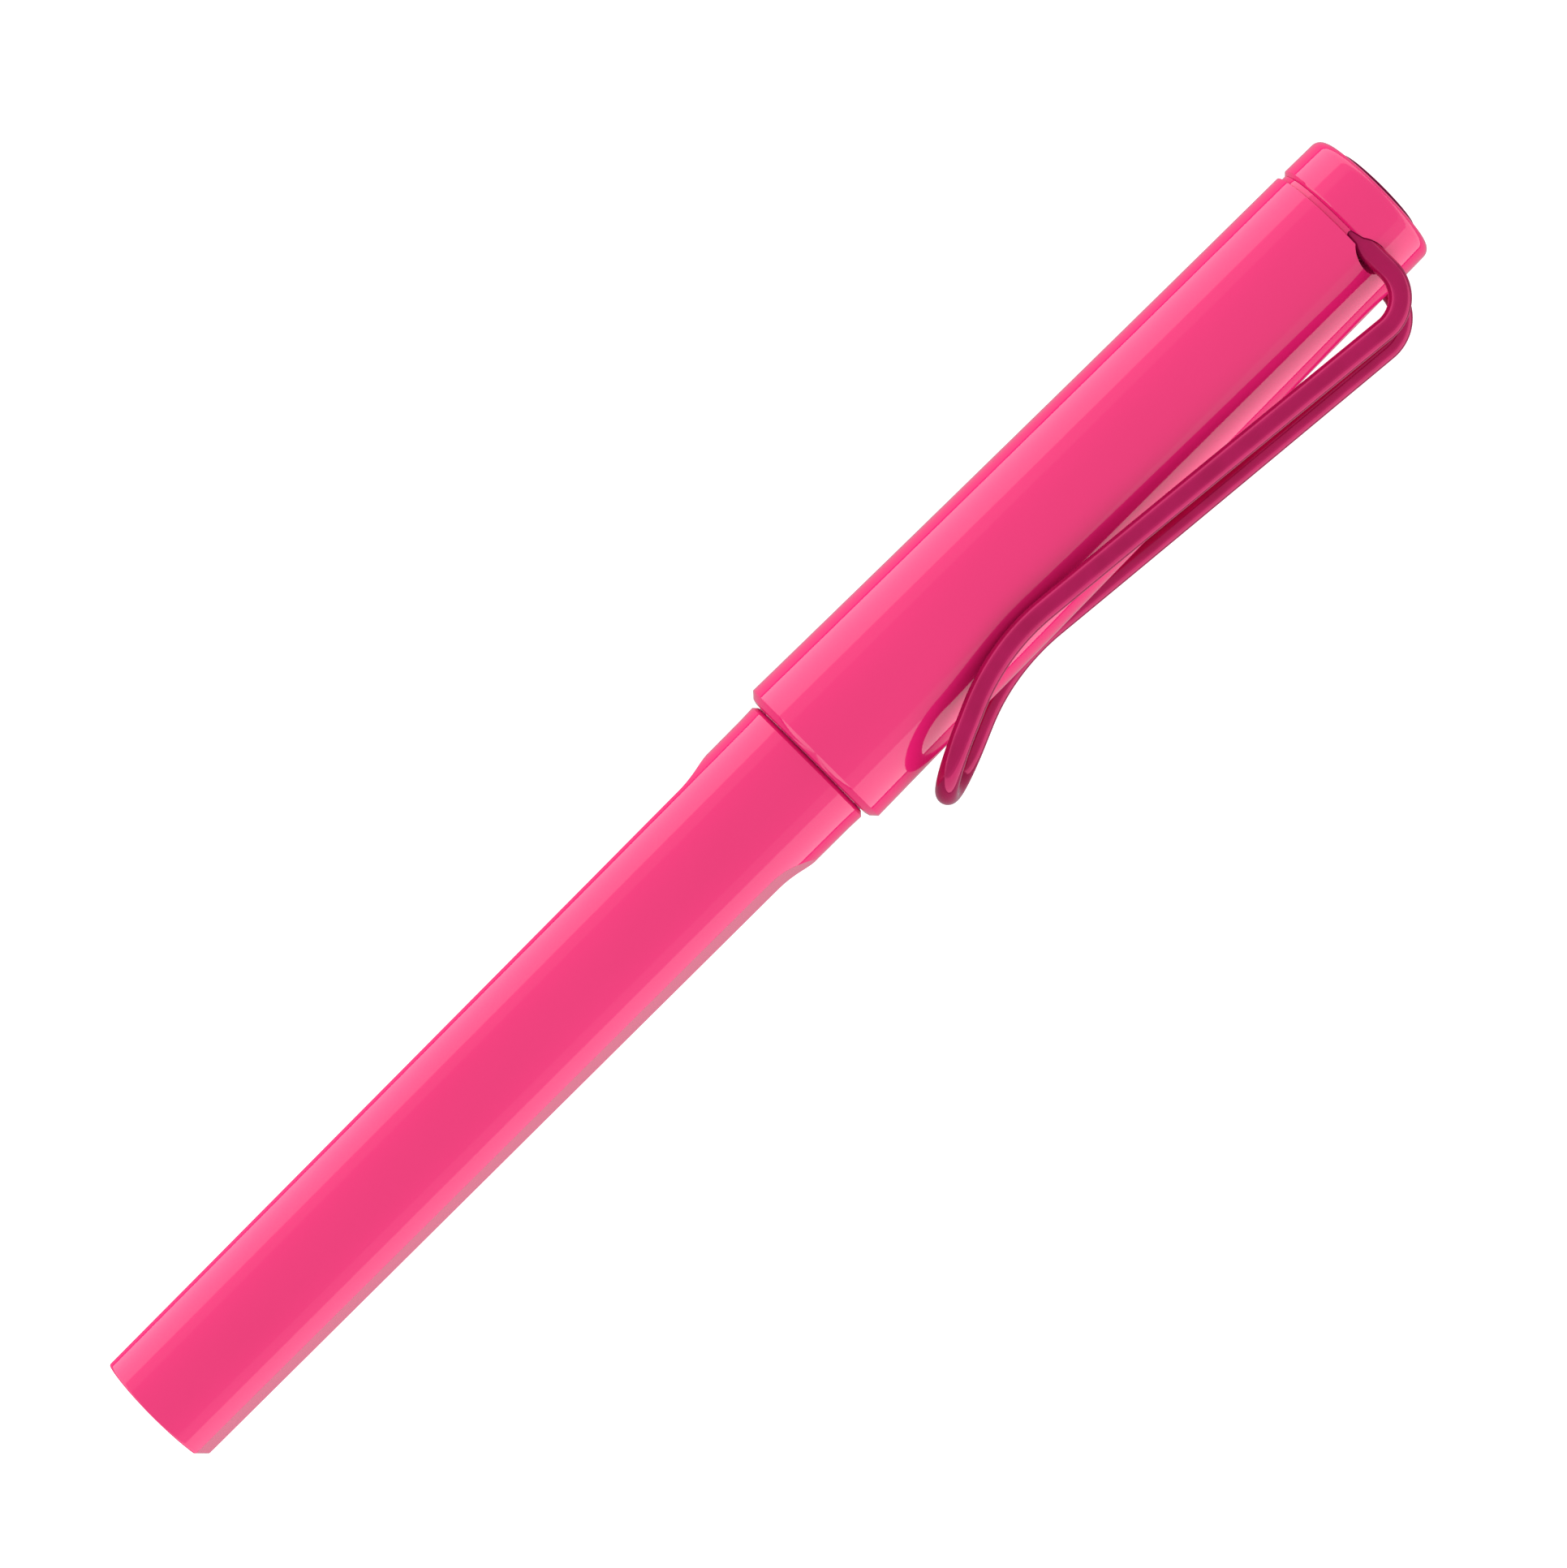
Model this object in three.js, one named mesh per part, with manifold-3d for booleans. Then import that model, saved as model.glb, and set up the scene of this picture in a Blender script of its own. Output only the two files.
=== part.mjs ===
// A capped, refillable highlighter with a bent wire clip.
// Millimetres. The pen lies along X: x = 0 is the closed end of the barrel and +X runs to the
// head of the cap. The clip is on the -Y side, the barrel's two flats face -Y and +Y, +Z is up.
// The finished group is moved so that the origin is at the middle of the bottom of its box.

import * as THREE from 'three';
import { mergeVertices } from 'three/addons/utils/BufferGeometryUtils.js';
import Module from 'manifold-3d';

const wasm = await Module();
wasm.setup();

// ---------------------------------------------------------------- driving dimensions

const shellSides = 40;
const innerSides = 28;
const smallSides = 20;

// Barrel
const barrelLength = 74.3;
const barrelEndRadius = 5.85;
const barrelEndRound = 0.25;
const barrelFrontRadius = 6.14;
const collarRadius = 6.22;
const collarChamfer = 0.34;
const flatAtEnd = 5.02;
const flatAtCollar = 5.285;
const flatLength = 65;
const rampAngle = 0.32;
const rampBlendRadius = 8;
const barrelFloor = 1.7;
const barrelBore = 4.2;
const threadBore = 5.0;
const threadStart = 66.7;
const threadLead = 0.8;

// Grip section
const spigotStart = 67.4;
const spigotRadius = 4.7;
const sealSeatDepth = 0.35;
const sealSeatLength = 1.5;
const sealRadius = 0.27;
const shoulderStart = 74.4;
const shoulderRadius = 5.7;
const snapGrooveStart = 75.6;
const snapGrooveEnd = 76.8;
const snapGrooveDepth = 0.5;
const snapRingClearance = 0.15;
const snapRingCrest = 0.17;
const gripRadius = 5.6;
const gripFlat = 4.75;
const gripStart = 80;
const gripEnd = 103;
const gripRunOut = 3;
const noseStart = 107;
const noseRadius = 4.4;
const sectionEnd = 112;
const cartridgeSocket = 3.8;
const collectorBore = 3.6;
const collectorSeat = 77;
const noseBore = 3.0;
const noseBoreStart = 105;

// Feed and nib
const collectorStart = 78;
const collectorEnd = 104.6;
const collectorRadius = 3.4;
const collectorCore = 1.9;
const finCount = 9;
const finGapShare = 0.6;
const endDiscLength = 1;
const wickRadius = 0.75;
const wickEnd = 106.8;
const piercerRadius = 1.1;
const piercerBore = 0.55;
const piercerLength = 7.5;
const piercerPointLength = 0.9;
const piercerFlange = 1;
const piercerFlangeLength = 0.6;
const nibRadius = 2.0;
const nibStart = 107;
const nibEnd = 121.5;
const nibCollarEnd = 115;
const wedgeLength = 6;
const wedgeEdge = 0.45;

// Cartridge
const cartridgeStart = 13;
const cartridgeShoulder = 69;
const cartridgeRadius = 3.5;
const cartridgeWall = 0.7;
const neckRadius = 2.1;
const neckBore = 1.35;
const neckEnd = 76;
const plugLip = 0.9;
const plugDepth = 1.6;
const plugWall = 0.7;
const plugFit = 0.06;
const sealBallRadius = 1.5;
const sealBallPlace = 63;

// Cap
const capGap = 0.08;
const capStart = barrelLength + capGap;
const lipRadius = 6.22;
const lipShoulder = 0.12;
const lipShoulderRadius = 6.62;
const lipLength = 0.62;
const capMouthRadius = 7.17;
const capTaper = 0.01615;
const capTaperEase = 0.00007;
const capEnd = 134.1;
const mouthBore = 5.98;
const capBore = 5.45;
const capBoreStart = 105.4;
const capBoreLead = 0.8;
const webStart = 129.2;
const webEnd = 130.8;
const headPocket = 5.35;
const screwHole = 1.7;

// Inner cap
const innerCapStart = 107.6;
const innerCapEnd = 126.2;
const innerCapRadius = 5.25;
const innerCapBore = 4.6;
const innerCapFloor = 0.8;

// Head of the cap
const retainerRadius = 5.15;
const retainerFlange = 6.14;
const retainerStart = 131;
const retainerEnd = 136;
const flangeStart = 134.17;
const flangeEnd = 134.6;
const finialStart = 134.68;
const finialChamfer = 0.28;
const finialRadius = 6.42;
const finialPocketEnd = 136.2;
const finialFace = 138.82;
const finialRound = 0.85;
const discSeat = 138.1;
const discClearance = 0.1;
const discRadius = 4.05;
const discDome = 0.33;
const penLength = 139.5;
const screwRadius = 1.5;
const screwClearance = 0.1;
const screwStart = 127.1;
const nutStart = 127.3;
const nutEnd = 128.6;
const nutRadius = 2.9;
const washerRadius = 3.6;
const washerEnd = 129.1;

// Clip, a bent round wire. Heights are measured from the pen's axis towards -Y.
const wireRadius = 0.95;
const wireSides = 14;
const wireSteps = 76;
const clipRootX = 134.62;
const clipInnerHeight = -0.2;
const clipBendRadius = 3.3;
const clipBendHeight = 5.7;
const clipLowHeight = 5.53;
const clipLowX = 94.2;
const clipKneeRadius = 19.5;
const clipTipAngle = THREE.MathUtils.degToRad(23.5);
const clipTipX = 80.2;
const legSpreadRoot = 4.8;
const legSpreadLow = 5.65;
const legSpreadTip = 5.15;
const wireHoleRadius = 1.16;
const wireHoleX = 134.44;
const wireHoleEnd = 0.6;
const wireSlotStart = 133.0;

// ---------------------------------------------------------------- solids

// A closed three.js geometry becomes a solid. Slivers on a lathe's axis are dropped.
function solidOf(geometry) {
  const bare = new THREE.BufferGeometry();
  bare.setAttribute('position', geometry.getAttribute('position').clone());
  if (geometry.index) bare.setIndex(geometry.index.clone());
  const merged = mergeVertices(bare, 1e-4);
  const corners = merged.index.array;
  const kept = [];
  for (let i = 0; i < corners.length; i += 3) {
    const [a, b, c] = [corners[i], corners[i + 1], corners[i + 2]];
    if (a !== b && b !== c && c !== a) kept.push(a, b, c);
  }
  const points = merged.getAttribute('position').array;
  if (signedVolume(points, kept) < 0) kept.reverse();
  return new wasm.Manifold(new wasm.Mesh({
    numProp: 3,
    vertProperties: new Float32Array(points),
    triVerts: new Uint32Array(kept),
  }));
}

function signedVolume(points, triangles) {
  const [a, b, c] = [new THREE.Vector3(), new THREE.Vector3(), new THREE.Vector3()];
  let volume = 0;
  for (let i = 0; i < triangles.length; i += 3) {
    a.fromArray(points, triangles[i] * 3);
    b.fromArray(points, triangles[i + 1] * 3);
    c.fromArray(points, triangles[i + 2] * 3);
    volume += a.dot(b.cross(c)) / 6;
  }
  return volume;
}

function geometryOf(solid) {
  const mesh = solid.getMesh();
  const geometry = new THREE.BufferGeometry();
  geometry.setAttribute('position', new THREE.BufferAttribute(new Float32Array(mesh.vertProperties), 3));
  geometry.setIndex(new THREE.BufferAttribute(new Uint32Array(mesh.triVerts), 1));
  geometry.computeVertexNormals();
  return geometry;
}

// Turns a profile of [x, radius] points about the X axis. A profile that doesn't start and end
// on the axis is a ring, and is closed on itself.
function turned(profile, sides) {
  const points = profile.map(([x, radius]) => new THREE.Vector2(radius, x));
  const [first, last] = [profile[0], profile[profile.length - 1]];
  if (first[1] > 0 || last[1] > 0) points.push(points[0].clone());
  const geometry = new THREE.LatheGeometry(points, sides);
  geometry.rotateZ(-Math.PI / 2);
  return solidOf(geometry);
}

function rod(start, end, radius, sides) {
  return turned([[start, 0], [start, radius], [end, radius], [end, 0]], sides);
}

function tube(start, end, outer, inner, sides) {
  return turned([[start, inner], [start, outer], [end, outer], [end, inner]], sides);
}

function block(xRange, yRange, zRange) {
  const size = [xRange, yRange, zRange].map(([low, high]) => high - low);
  const middle = [xRange, yRange, zRange].map(([low, high]) => (low + high) / 2);
  const geometry = new THREE.BoxGeometry(...size);
  geometry.translate(...middle);
  return solidOf(geometry);
}

// A prism across the pen: its outline is drawn in X and Y and it runs along Z.
function prism(outline, depth) {
  const shape = new THREE.Shape(outline.map(([x, y]) => new THREE.Vector2(x, y)));
  const geometry = new THREE.ExtrudeGeometry(shape, { depth, bevelEnabled: false });
  geometry.translate(0, 0, -depth / 2);
  return geometry;
}

// Points along a quarter round in a profile, from facing outwards to facing the head.
function quarterRound(x, radius, round, steps) {
  const points = [];
  for (let i = 0; i <= steps; i++) {
    const angle = (i / steps) * (Math.PI / 2);
    points.push([x - round + round * Math.sin(angle), radius - round + round * Math.cos(angle)]);
  }
  return points;
}

function plastic(color, roughness) {
  return new THREE.MeshStandardMaterial({ color, roughness, metalness: 0 });
}

function metal(color, roughness) {
  return new THREE.MeshStandardMaterial({ color, roughness, metalness: 0.9 });
}

const bodyPink = () => plastic('#ed447a', 0.12);
const clipMagenta = () => metal('#aa145a', 0.2);

function piece(name, solid, material) {
  const mesh = new THREE.Mesh(geometryOf(solid), material);
  mesh.name = name;
  return mesh;
}

// ---------------------------------------------------------------- barrel

// The part cut away beyond one flat: straight along the flat, round a shallow hollow, then
// straight up the ramp until it clears the collar.
function flatCutter(side) {
  const clear = 9;
  const beyond = 1;
  const outline = [[-beyond, flatAtEnd]];
  const blendSteps = 3;
  for (let i = 0; i <= blendSteps; i++) {
    const angle = (i / blendSteps) * rampAngle;
    const rise = rampBlendRadius * (1 - Math.cos(angle));
    outline.push([flatLength + rampBlendRadius * Math.sin(angle), flatAtCollar + rise]);
  }
  const [rampStart, rampFoot] = outline[outline.length - 1];
  const rampTop = collarRadius + 0.02;
  const rampEnd = rampStart + (rampTop - rampFoot) / Math.tan(rampAngle);
  outline.push([rampEnd, rampTop], [rampEnd, clear], [-beyond, clear]);
  const mirrored = outline.map(([x, y]) => [x, y * side]);
  return solidOf(prism(mirrored, 2 * clear));
}

function barrel() {
  const body = turned([
    [0, 0],
    [0, barrelEndRadius - barrelEndRound],
    [barrelEndRound * 0.3, barrelEndRadius - barrelEndRound * 0.3],
    [barrelEndRound, barrelEndRadius],
    [flatLength, barrelFrontRadius],
    [barrelLength - collarChamfer, collarRadius],
    [barrelLength, collarRadius - collarChamfer],
    [barrelLength, threadBore],
    [threadStart, threadBore],
    [threadStart - threadLead, barrelBore],
    [barrelFloor, barrelBore],
    [barrelFloor, 0],
  ], shellSides);
  return body.subtract(flatCutter(1)).subtract(flatCutter(-1));
}

// ---------------------------------------------------------------- grip section and feed

// One of the three finger flats, sunk into the grip and run out at both ends.
function gripCutter(turn) {
  const clear = 8;
  const outside = gripRadius + 0.15;
  const outline = [
    [gripStart - gripRunOut, clear],
    [gripStart - gripRunOut, outside],
    [gripStart, gripFlat],
    [gripEnd, gripFlat],
    [gripEnd + gripRunOut, outside],
    [gripEnd + gripRunOut, clear],
  ];
  const geometry = prism(outline, 2 * clear);
  geometry.rotateX(turn);
  return solidOf(geometry);
}

function gripSection() {
  const chamfer = 0.4;
  const fade = 2;
  const sealSeat = spigotRadius - sealSeatDepth;
  let body = turned([
    [spigotStart, cartridgeSocket],
    [spigotStart, spigotRadius - chamfer],
    [spigotStart + chamfer, spigotRadius],
    [shoulderStart - sealSeatLength, spigotRadius],
    [shoulderStart - sealSeatLength, sealSeat],
    [shoulderStart, sealSeat],
    [shoulderStart, shoulderRadius],
    [snapGrooveStart, shoulderRadius],
    [snapGrooveStart, shoulderRadius - snapGrooveDepth],
    [snapGrooveEnd, shoulderRadius - snapGrooveDepth],
    [snapGrooveEnd, shoulderRadius],
    [gripStart - fade, gripRadius],
    [gripEnd, gripRadius],
    [gripEnd + fade, gripRadius - chamfer],
    [noseStart, noseRadius],
    [sectionEnd - chamfer, noseRadius - chamfer / 2],
    [sectionEnd, noseRadius - 1.5 * chamfer],
    [sectionEnd, noseBore],
    [noseBoreStart, noseBore],
    [noseBoreStart, collectorBore],
    [collectorSeat, collectorBore],
    [collectorSeat, cartridgeSocket],
  ], shellSides);
  for (let i = 0; i < 3; i++) {
    body = body.subtract(gripCutter(Math.PI / 2 + (i * 2 * Math.PI) / 3));
  }
  return body;
}

function snapRing() {
  const start = snapGrooveStart + snapRingClearance;
  const end = snapGrooveEnd - snapRingClearance;
  const inner = shoulderRadius - snapGrooveDepth + snapRingClearance;
  return turned([
    [start, inner],
    [start, shoulderRadius],
    [(start + end) / 2, shoulderRadius + snapRingCrest],
    [end, shoulderRadius],
    [end, inner],
  ], shellSides);
}

function barrelSeal() {
  const roundSides = 8;
  const seat = spigotRadius - sealSeatDepth;
  const ring = new THREE.TorusGeometry(seat + sealRadius + 0.03, sealRadius, roundSides, innerSides);
  ring.rotateY(Math.PI / 2);
  ring.translate(shoulderStart - sealSeatLength / 2, 0, 0);
  return solidOf(ring);
}

function inkCollector() {
  const bore = wickRadius + 0.15;
  const pitch = (collectorEnd - collectorStart - endDiscLength) / finCount;
  const profile = [[collectorStart, bore], [collectorStart, collectorRadius]];
  for (let i = 0; i < finCount; i++) {
    const gapStart = collectorStart + endDiscLength + i * pitch;
    const gapEnd = gapStart + pitch * finGapShare;
    profile.push([gapStart, collectorRadius], [gapStart, collectorCore]);
    profile.push([gapEnd, collectorCore], [gapEnd, collectorRadius]);
  }
  profile.push([collectorEnd, collectorRadius], [collectorEnd, bore]);
  return turned(profile, smallSides);
}

function piercingTube() {
  const end = collectorStart - 0.05;
  const point = end - piercerLength;
  return turned([
    [point, piercerBore],
    [point, piercerBore + 0.15],
    [point + piercerPointLength, piercerRadius],
    [end - piercerFlangeLength, piercerRadius],
    [end - piercerFlangeLength, piercerRadius + piercerFlange],
    [end, piercerRadius + piercerFlange],
    [end, piercerBore],
  ], smallSides);
}

function wick() {
  const wickSides = 12;
  return rod(collectorStart + 0.2, wickEnd, wickRadius, wickSides);
}

function nibCollar() {
  const clearance = 0.1;
  const bore = nibRadius + clearance;
  const start = noseBoreStart + 2 * clearance;
  const rimStart = sectionEnd + clearance;
  const rimRadius = noseBore + 0.4;
  return turned([
    [start, bore],
    [start, noseBore - clearance],
    [rimStart, noseBore - clearance],
    [rimStart, rimRadius],
    [rimStart + 0.7, rimRadius],
    [nibCollarEnd, bore + 0.35],
    [nibCollarEnd, bore],
  ], innerSides);
}

// A round felt rod cut to a wedge: two broad faces and a slanted edge.
function chiselNib() {
  const clear = 5;
  const beyond = 2;
  const wedge = [
    [nibEnd - wedgeLength, nibRadius + 0.1],
    [nibEnd + beyond / 2, wedgeEdge],
    [nibEnd + beyond / 2, clear],
    [nibEnd - wedgeLength, clear],
  ];
  const slant = [
    [nibEnd - 2.2, -clear],
    [nibEnd - 1.5, -nibRadius],
    [nibEnd - 0.1, nibRadius],
    [nibEnd, clear],
    [nibEnd + beyond, clear],
    [nibEnd + beyond, -clear],
  ];
  const lower = wedge.map(([x, y]) => [x, -y]);
  const slantGeometry = prism(slant, 2 * clear);
  slantGeometry.rotateX(Math.PI / 2);
  return rod(nibStart, nibEnd, nibRadius, innerSides)
    .subtract(solidOf(prism(wedge, 2 * clear)))
    .subtract(solidOf(prism(lower, 2 * clear)))
    .subtract(solidOf(slantGeometry));
}

// ---------------------------------------------------------------- cartridge

function cartridgeBody() {
  const step = 0.6;
  const inner = cartridgeRadius - cartridgeWall;
  return turned([
    [cartridgeStart, inner],
    [cartridgeStart, cartridgeRadius],
    [cartridgeShoulder - 2 * step, cartridgeRadius],
    [cartridgeShoulder, cartridgeRadius - step],
    [cartridgeShoulder + step, neckRadius + step / 3],
    [cartridgeShoulder + 2 * step, neckRadius],
    [neckEnd, neckRadius],
    [neckEnd, neckBore],
    [cartridgeShoulder + step, neckBore],
    [cartridgeShoulder - step, inner],
  ], innerSides);
}

function cartridgePlug() {
  const chamfer = 0.4;
  const outside = cartridgeStart - plugLip;
  const plugRadius = cartridgeRadius - cartridgeWall - plugFit;
  return turned([
    [outside, 0],
    [outside, cartridgeRadius - chamfer],
    [outside + chamfer, cartridgeRadius],
    [cartridgeStart - plugFit, cartridgeRadius],
    [cartridgeStart - plugFit, plugRadius],
    [cartridgeStart + plugDepth, plugRadius],
    [cartridgeStart + plugDepth, plugRadius - plugWall],
    [cartridgeStart + chamfer, plugRadius - plugWall],
    [cartridgeStart + chamfer, 0],
  ], innerSides);
}

function sealBall() {
  const ball = new THREE.SphereGeometry(sealBallRadius, 16, 10);
  const wallHeight = cartridgeRadius - cartridgeWall - 0.1;
  ball.translate(sealBallPlace, 0, sealBallRadius - wallHeight);
  return solidOf(ball);
}

// ---------------------------------------------------------------- cap

// Clearance holes for the two legs of the clip, blind, entered from the -Y side.
function wireHoles() {
  const depth = 9 + wireHoleEnd;
  const holeSides = 24;
  const holes = [-1, 1].map((side) => {
    const hole = new THREE.CylinderGeometry(wireHoleRadius, wireHoleRadius, depth, holeSides);
    hole.translate(wireHoleX, wireHoleEnd - depth / 2, side * legSpreadRoot);
    return solidOf(hole);
  });
  return holes[0].add(holes[1]);
}

// The cap's outer radius: widest at the mouth, with a taper that eases towards the head.
function capRadius(x) {
  const along = x - capStart - lipLength;
  return capMouthRadius - capTaper * along + capTaperEase * along * along;
}

function capTube() {
  const chamfer = 0.06;
  const taperEnd = capEnd - chamfer;
  const taperSteps = 4;
  const taper = [];
  for (let i = 0; i <= taperSteps; i++) {
    const x = THREE.MathUtils.lerp(capStart + lipLength, taperEnd, i / taperSteps);
    taper.push([x, capRadius(x)]);
  }
  const body = turned([
    [capStart, mouthBore],
    [capStart, lipRadius],
    [capStart + lipShoulder, lipShoulderRadius],
    ...taper,
    [capEnd, capRadius(capEnd) - chamfer],
    [capEnd, headPocket],
    [webEnd, headPocket],
    [webEnd, screwHole],
    [webStart, screwHole],
    [webStart, capBore],
    [capBoreStart, capBore],
    [capBoreStart - capBoreLead, mouthBore - 0.1],
  ], shellSides);
  return body.subtract(wireHoles());
}

function innerCap() {
  const chamfer = 0.6;
  const floor = innerCapEnd - innerCapFloor;
  return turned([
    [innerCapStart, innerCapBore],
    [innerCapStart, innerCapRadius],
    [innerCapEnd - chamfer, innerCapRadius],
    [innerCapEnd, innerCapRadius - chamfer],
    [innerCapEnd, 0],
    [floor, 0],
    [floor, innerCapBore - innerCapFloor],
    [floor - 2, innerCapBore],
    [innerCapStart, innerCapBore],
  ], innerSides);
}

function clipRetainer() {
  const body = turned([
    [retainerStart, screwHole],
    [retainerStart, retainerRadius],
    [flangeStart, retainerRadius],
    [flangeStart, retainerFlange],
    [flangeEnd, retainerFlange],
    [flangeEnd, retainerRadius],
    [retainerEnd, retainerRadius],
    [retainerEnd, screwHole],
  ], shellSides);
  let cut = body.subtract(wireHoles());
  for (const side of [-1, 1]) {
    const middle = side * legSpreadRoot;
    const slot = block(
      [wireSlotStart, flangeStart - 0.1],
      [-4, wireHoleEnd],
      [middle - wireHoleRadius, middle + wireHoleRadius],
    );
    cut = cut.subtract(slot);
  }
  return cut;
}

function capFinial() {
  const body = turned([
    [finialStart, headPocket],
    [finialStart, finialRadius - finialChamfer],
    [finialStart + finialChamfer, finialRadius],
    ...quarterRound(finialFace, finialRadius - 0.05, finialRound, 4),
    [finialFace, discRadius + discClearance],
    [discSeat, discRadius + discClearance],
    [discSeat, screwHole],
    [finialPocketEnd, screwHole],
    [finialPocketEnd, headPocket],
  ], shellSides);
  return body.subtract(wireHoles());
}

// A screw with a broad, slightly domed disc for its head.
function finialScrew() {
  const chamfer = 0.2;
  const discBack = discSeat + discClearance;
  const dome = [1, 0.87, 0.65, 0.35, 0].map((share) => {
    return [penLength - discDome * share * share, discRadius * share];
  });
  return turned([
    [screwStart, 0],
    [screwStart, screwRadius - chamfer],
    [screwStart + chamfer, screwRadius],
    [discBack, screwRadius],
    [discBack, discRadius],
    ...dome,
  ], innerSides);
}

function finialNut() {
  const hexagon = rod(nutStart, nutEnd, nutRadius, 6);
  return hexagon.subtract(rod(nutStart - 1, nutEnd + 1, screwRadius + screwClearance, innerSides));
}

function finialWasher() {
  return tube(nutEnd + 0.1, washerEnd, washerRadius, screwRadius + screwClearance, innerSides);
}

// ---------------------------------------------------------------- clip

// Half of the clip's centre line, from its end inside the head to the tip on the plane z = 0.
// Returned as [x, height, spread], where spread is the distance from the plane z = 0.
function clipHalf() {
  const half = [];
  const bendX = clipRootX - clipBendRadius;
  const kneeCentre = clipLowHeight + clipKneeRadius;
  const across = bendX - clipLowX;
  const rise = clipBendHeight - kneeCentre;
  const reach = Math.hypot(across, rise);
  const slope = Math.asin((clipBendRadius + clipKneeRadius) / reach) - Math.atan2(-rise, across);
  const spreadAt = (x) => {
    const along = THREE.MathUtils.clamp((clipRootX - x) / (clipRootX - clipLowX), 0, 1);
    return THREE.MathUtils.lerp(legSpreadRoot, legSpreadLow, Math.sin((along * Math.PI) / 2));
  };
  const rootSteps = 3;
  for (let i = 0; i < rootSteps; i++) {
    const height = THREE.MathUtils.lerp(clipInnerHeight, clipBendHeight, i / rootSteps);
    half.push([clipRootX, height, legSpreadRoot]);
  }
  const bendSteps = 8;
  for (let i = 0; i <= bendSteps; i++) {
    const angle = (i / bendSteps) * (Math.PI / 2 + slope);
    const x = bendX + clipBendRadius * Math.cos(angle);
    half.push([x, clipBendHeight + clipBendRadius * Math.sin(angle), spreadAt(x)]);
  }
  const kneeStart = clipLowX + clipKneeRadius * Math.sin(slope);
  const lastBend = half[half.length - 1];
  const legSteps = 5;
  for (let i = 1; i < legSteps; i++) {
    const x = THREE.MathUtils.lerp(lastBend[0], kneeStart, i / legSteps);
    const height = lastBend[1] - (lastBend[0] - x) * Math.tan(slope);
    half.push([x, height, spreadAt(x)]);
  }
  const kneeSteps = 5;
  const tipCentreX = clipTipX + legSpreadTip * Math.cos(clipTipAngle);
  for (let i = 0; i <= kneeSteps; i++) {
    const angle = THREE.MathUtils.lerp(-slope, clipTipAngle, i / kneeSteps);
    const x = clipLowX - clipKneeRadius * Math.sin(angle);
    const back = THREE.MathUtils.smoothstep(clipLowX - x, 0, clipLowX - tipCentreX);
    const height = kneeCentre - clipKneeRadius * Math.cos(angle);
    half.push([x, height, THREE.MathUtils.lerp(spreadAt(x), legSpreadTip, back)]);
  }
  const [kneeX, kneeHeight] = half[half.length - 1];
  const tipSteps = 6;
  for (let i = 0; i <= tipSteps; i++) {
    const angle = (i / tipSteps) * (Math.PI / 2);
    const along = legSpreadTip * Math.sin(angle) * Math.cos(clipTipAngle);
    const x = tipCentreX - along;
    const height = kneeHeight + (kneeX - x) * Math.tan(clipTipAngle);
    half.push([x, height, legSpreadTip * Math.cos(angle)]);
  }
  return half;
}

function clipWire() {
  const half = clipHalf();
  const upper = half.map(([x, height, spread]) => new THREE.Vector3(x, -height, spread));
  const lower = upper.slice(0, -1).reverse().map((point) => new THREE.Vector3(point.x, point.y, -point.z));
  const path = new THREE.CatmullRomCurve3([...upper, ...lower], false, 'centripetal');
  const section = new THREE.Shape();
  section.absarc(0, 0, wireRadius, 0, 2 * Math.PI);
  const geometry = new THREE.ExtrudeGeometry(section, {
    extrudePath: path,
    steps: wireSteps,
    curveSegments: wireSides / 2,
    bevelEnabled: false,
  });
  return solidOf(geometry);
}

// ---------------------------------------------------------------- assembly

function highlighter() {
  const pen = new THREE.Group();
  pen.add(
    piece('barrel', barrel(), bodyPink()),
    piece('grip_section', gripSection(), bodyPink()),
    piece('cap_snap_ring', snapRing(), plastic('#2a1626', 0.4)),
    piece('barrel_o_ring', barrelSeal(), plastic('#1b1418', 0.7)),
    piece('ink_collector', inkCollector(), plastic('#e9e6e4', 0.4)),
    piece('piercing_tube', piercingTube(), plastic('#e9e6e4', 0.4)),
    piece('wick', wick(), plastic('#f2f0ec', 0.9)),
    piece('nib_collar', nibCollar(), plastic('#2a1626', 0.35)),
    piece('chisel_nib', chiselNib(), plastic('#ff5f93', 0.95)),
    piece('cartridge_body', cartridgeBody(), plastic('#f4dfe6', 0.25)),
    piece('cartridge_end_plug', cartridgePlug(), plastic('#e8487f', 0.3)),
    piece('cartridge_seal_ball', sealBall(), plastic('#d8dadc', 0.1)),
    piece('cap_tube', capTube(), bodyPink()),
    piece('inner_cap', innerCap(), plastic('#efe9ea', 0.4)),
    piece('clip_retainer', clipRetainer(), bodyPink()),
    piece('cap_finial', capFinial(), bodyPink()),
    piece('finial_screw', finialScrew(), plastic('#8a1450', 0.2)),
    piece('finial_nut', finialNut(), metal('#c9c6bf', 0.35)),
    piece('finial_washer', finialWasher(), metal('#c9c6bf', 0.35)),
    piece('clip_wire', clipWire(), clipMagenta()),
  );
  const box = new THREE.Box3().setFromObject(pen);
  const middle = box.getCenter(new THREE.Vector3());
  pen.position.set(-middle.x, -middle.y, -box.min.z);
  return pen;
}

export default highlighter();
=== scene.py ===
"""A capped highlighter with a bent wire clip, lying on a pale floor under soft studio light."""

from math import asin, atan, atan2, cos, hypot, pi, radians, sin, sqrt, tan

import bmesh
import bpy
from mathutils import Matrix, Vector


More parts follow.
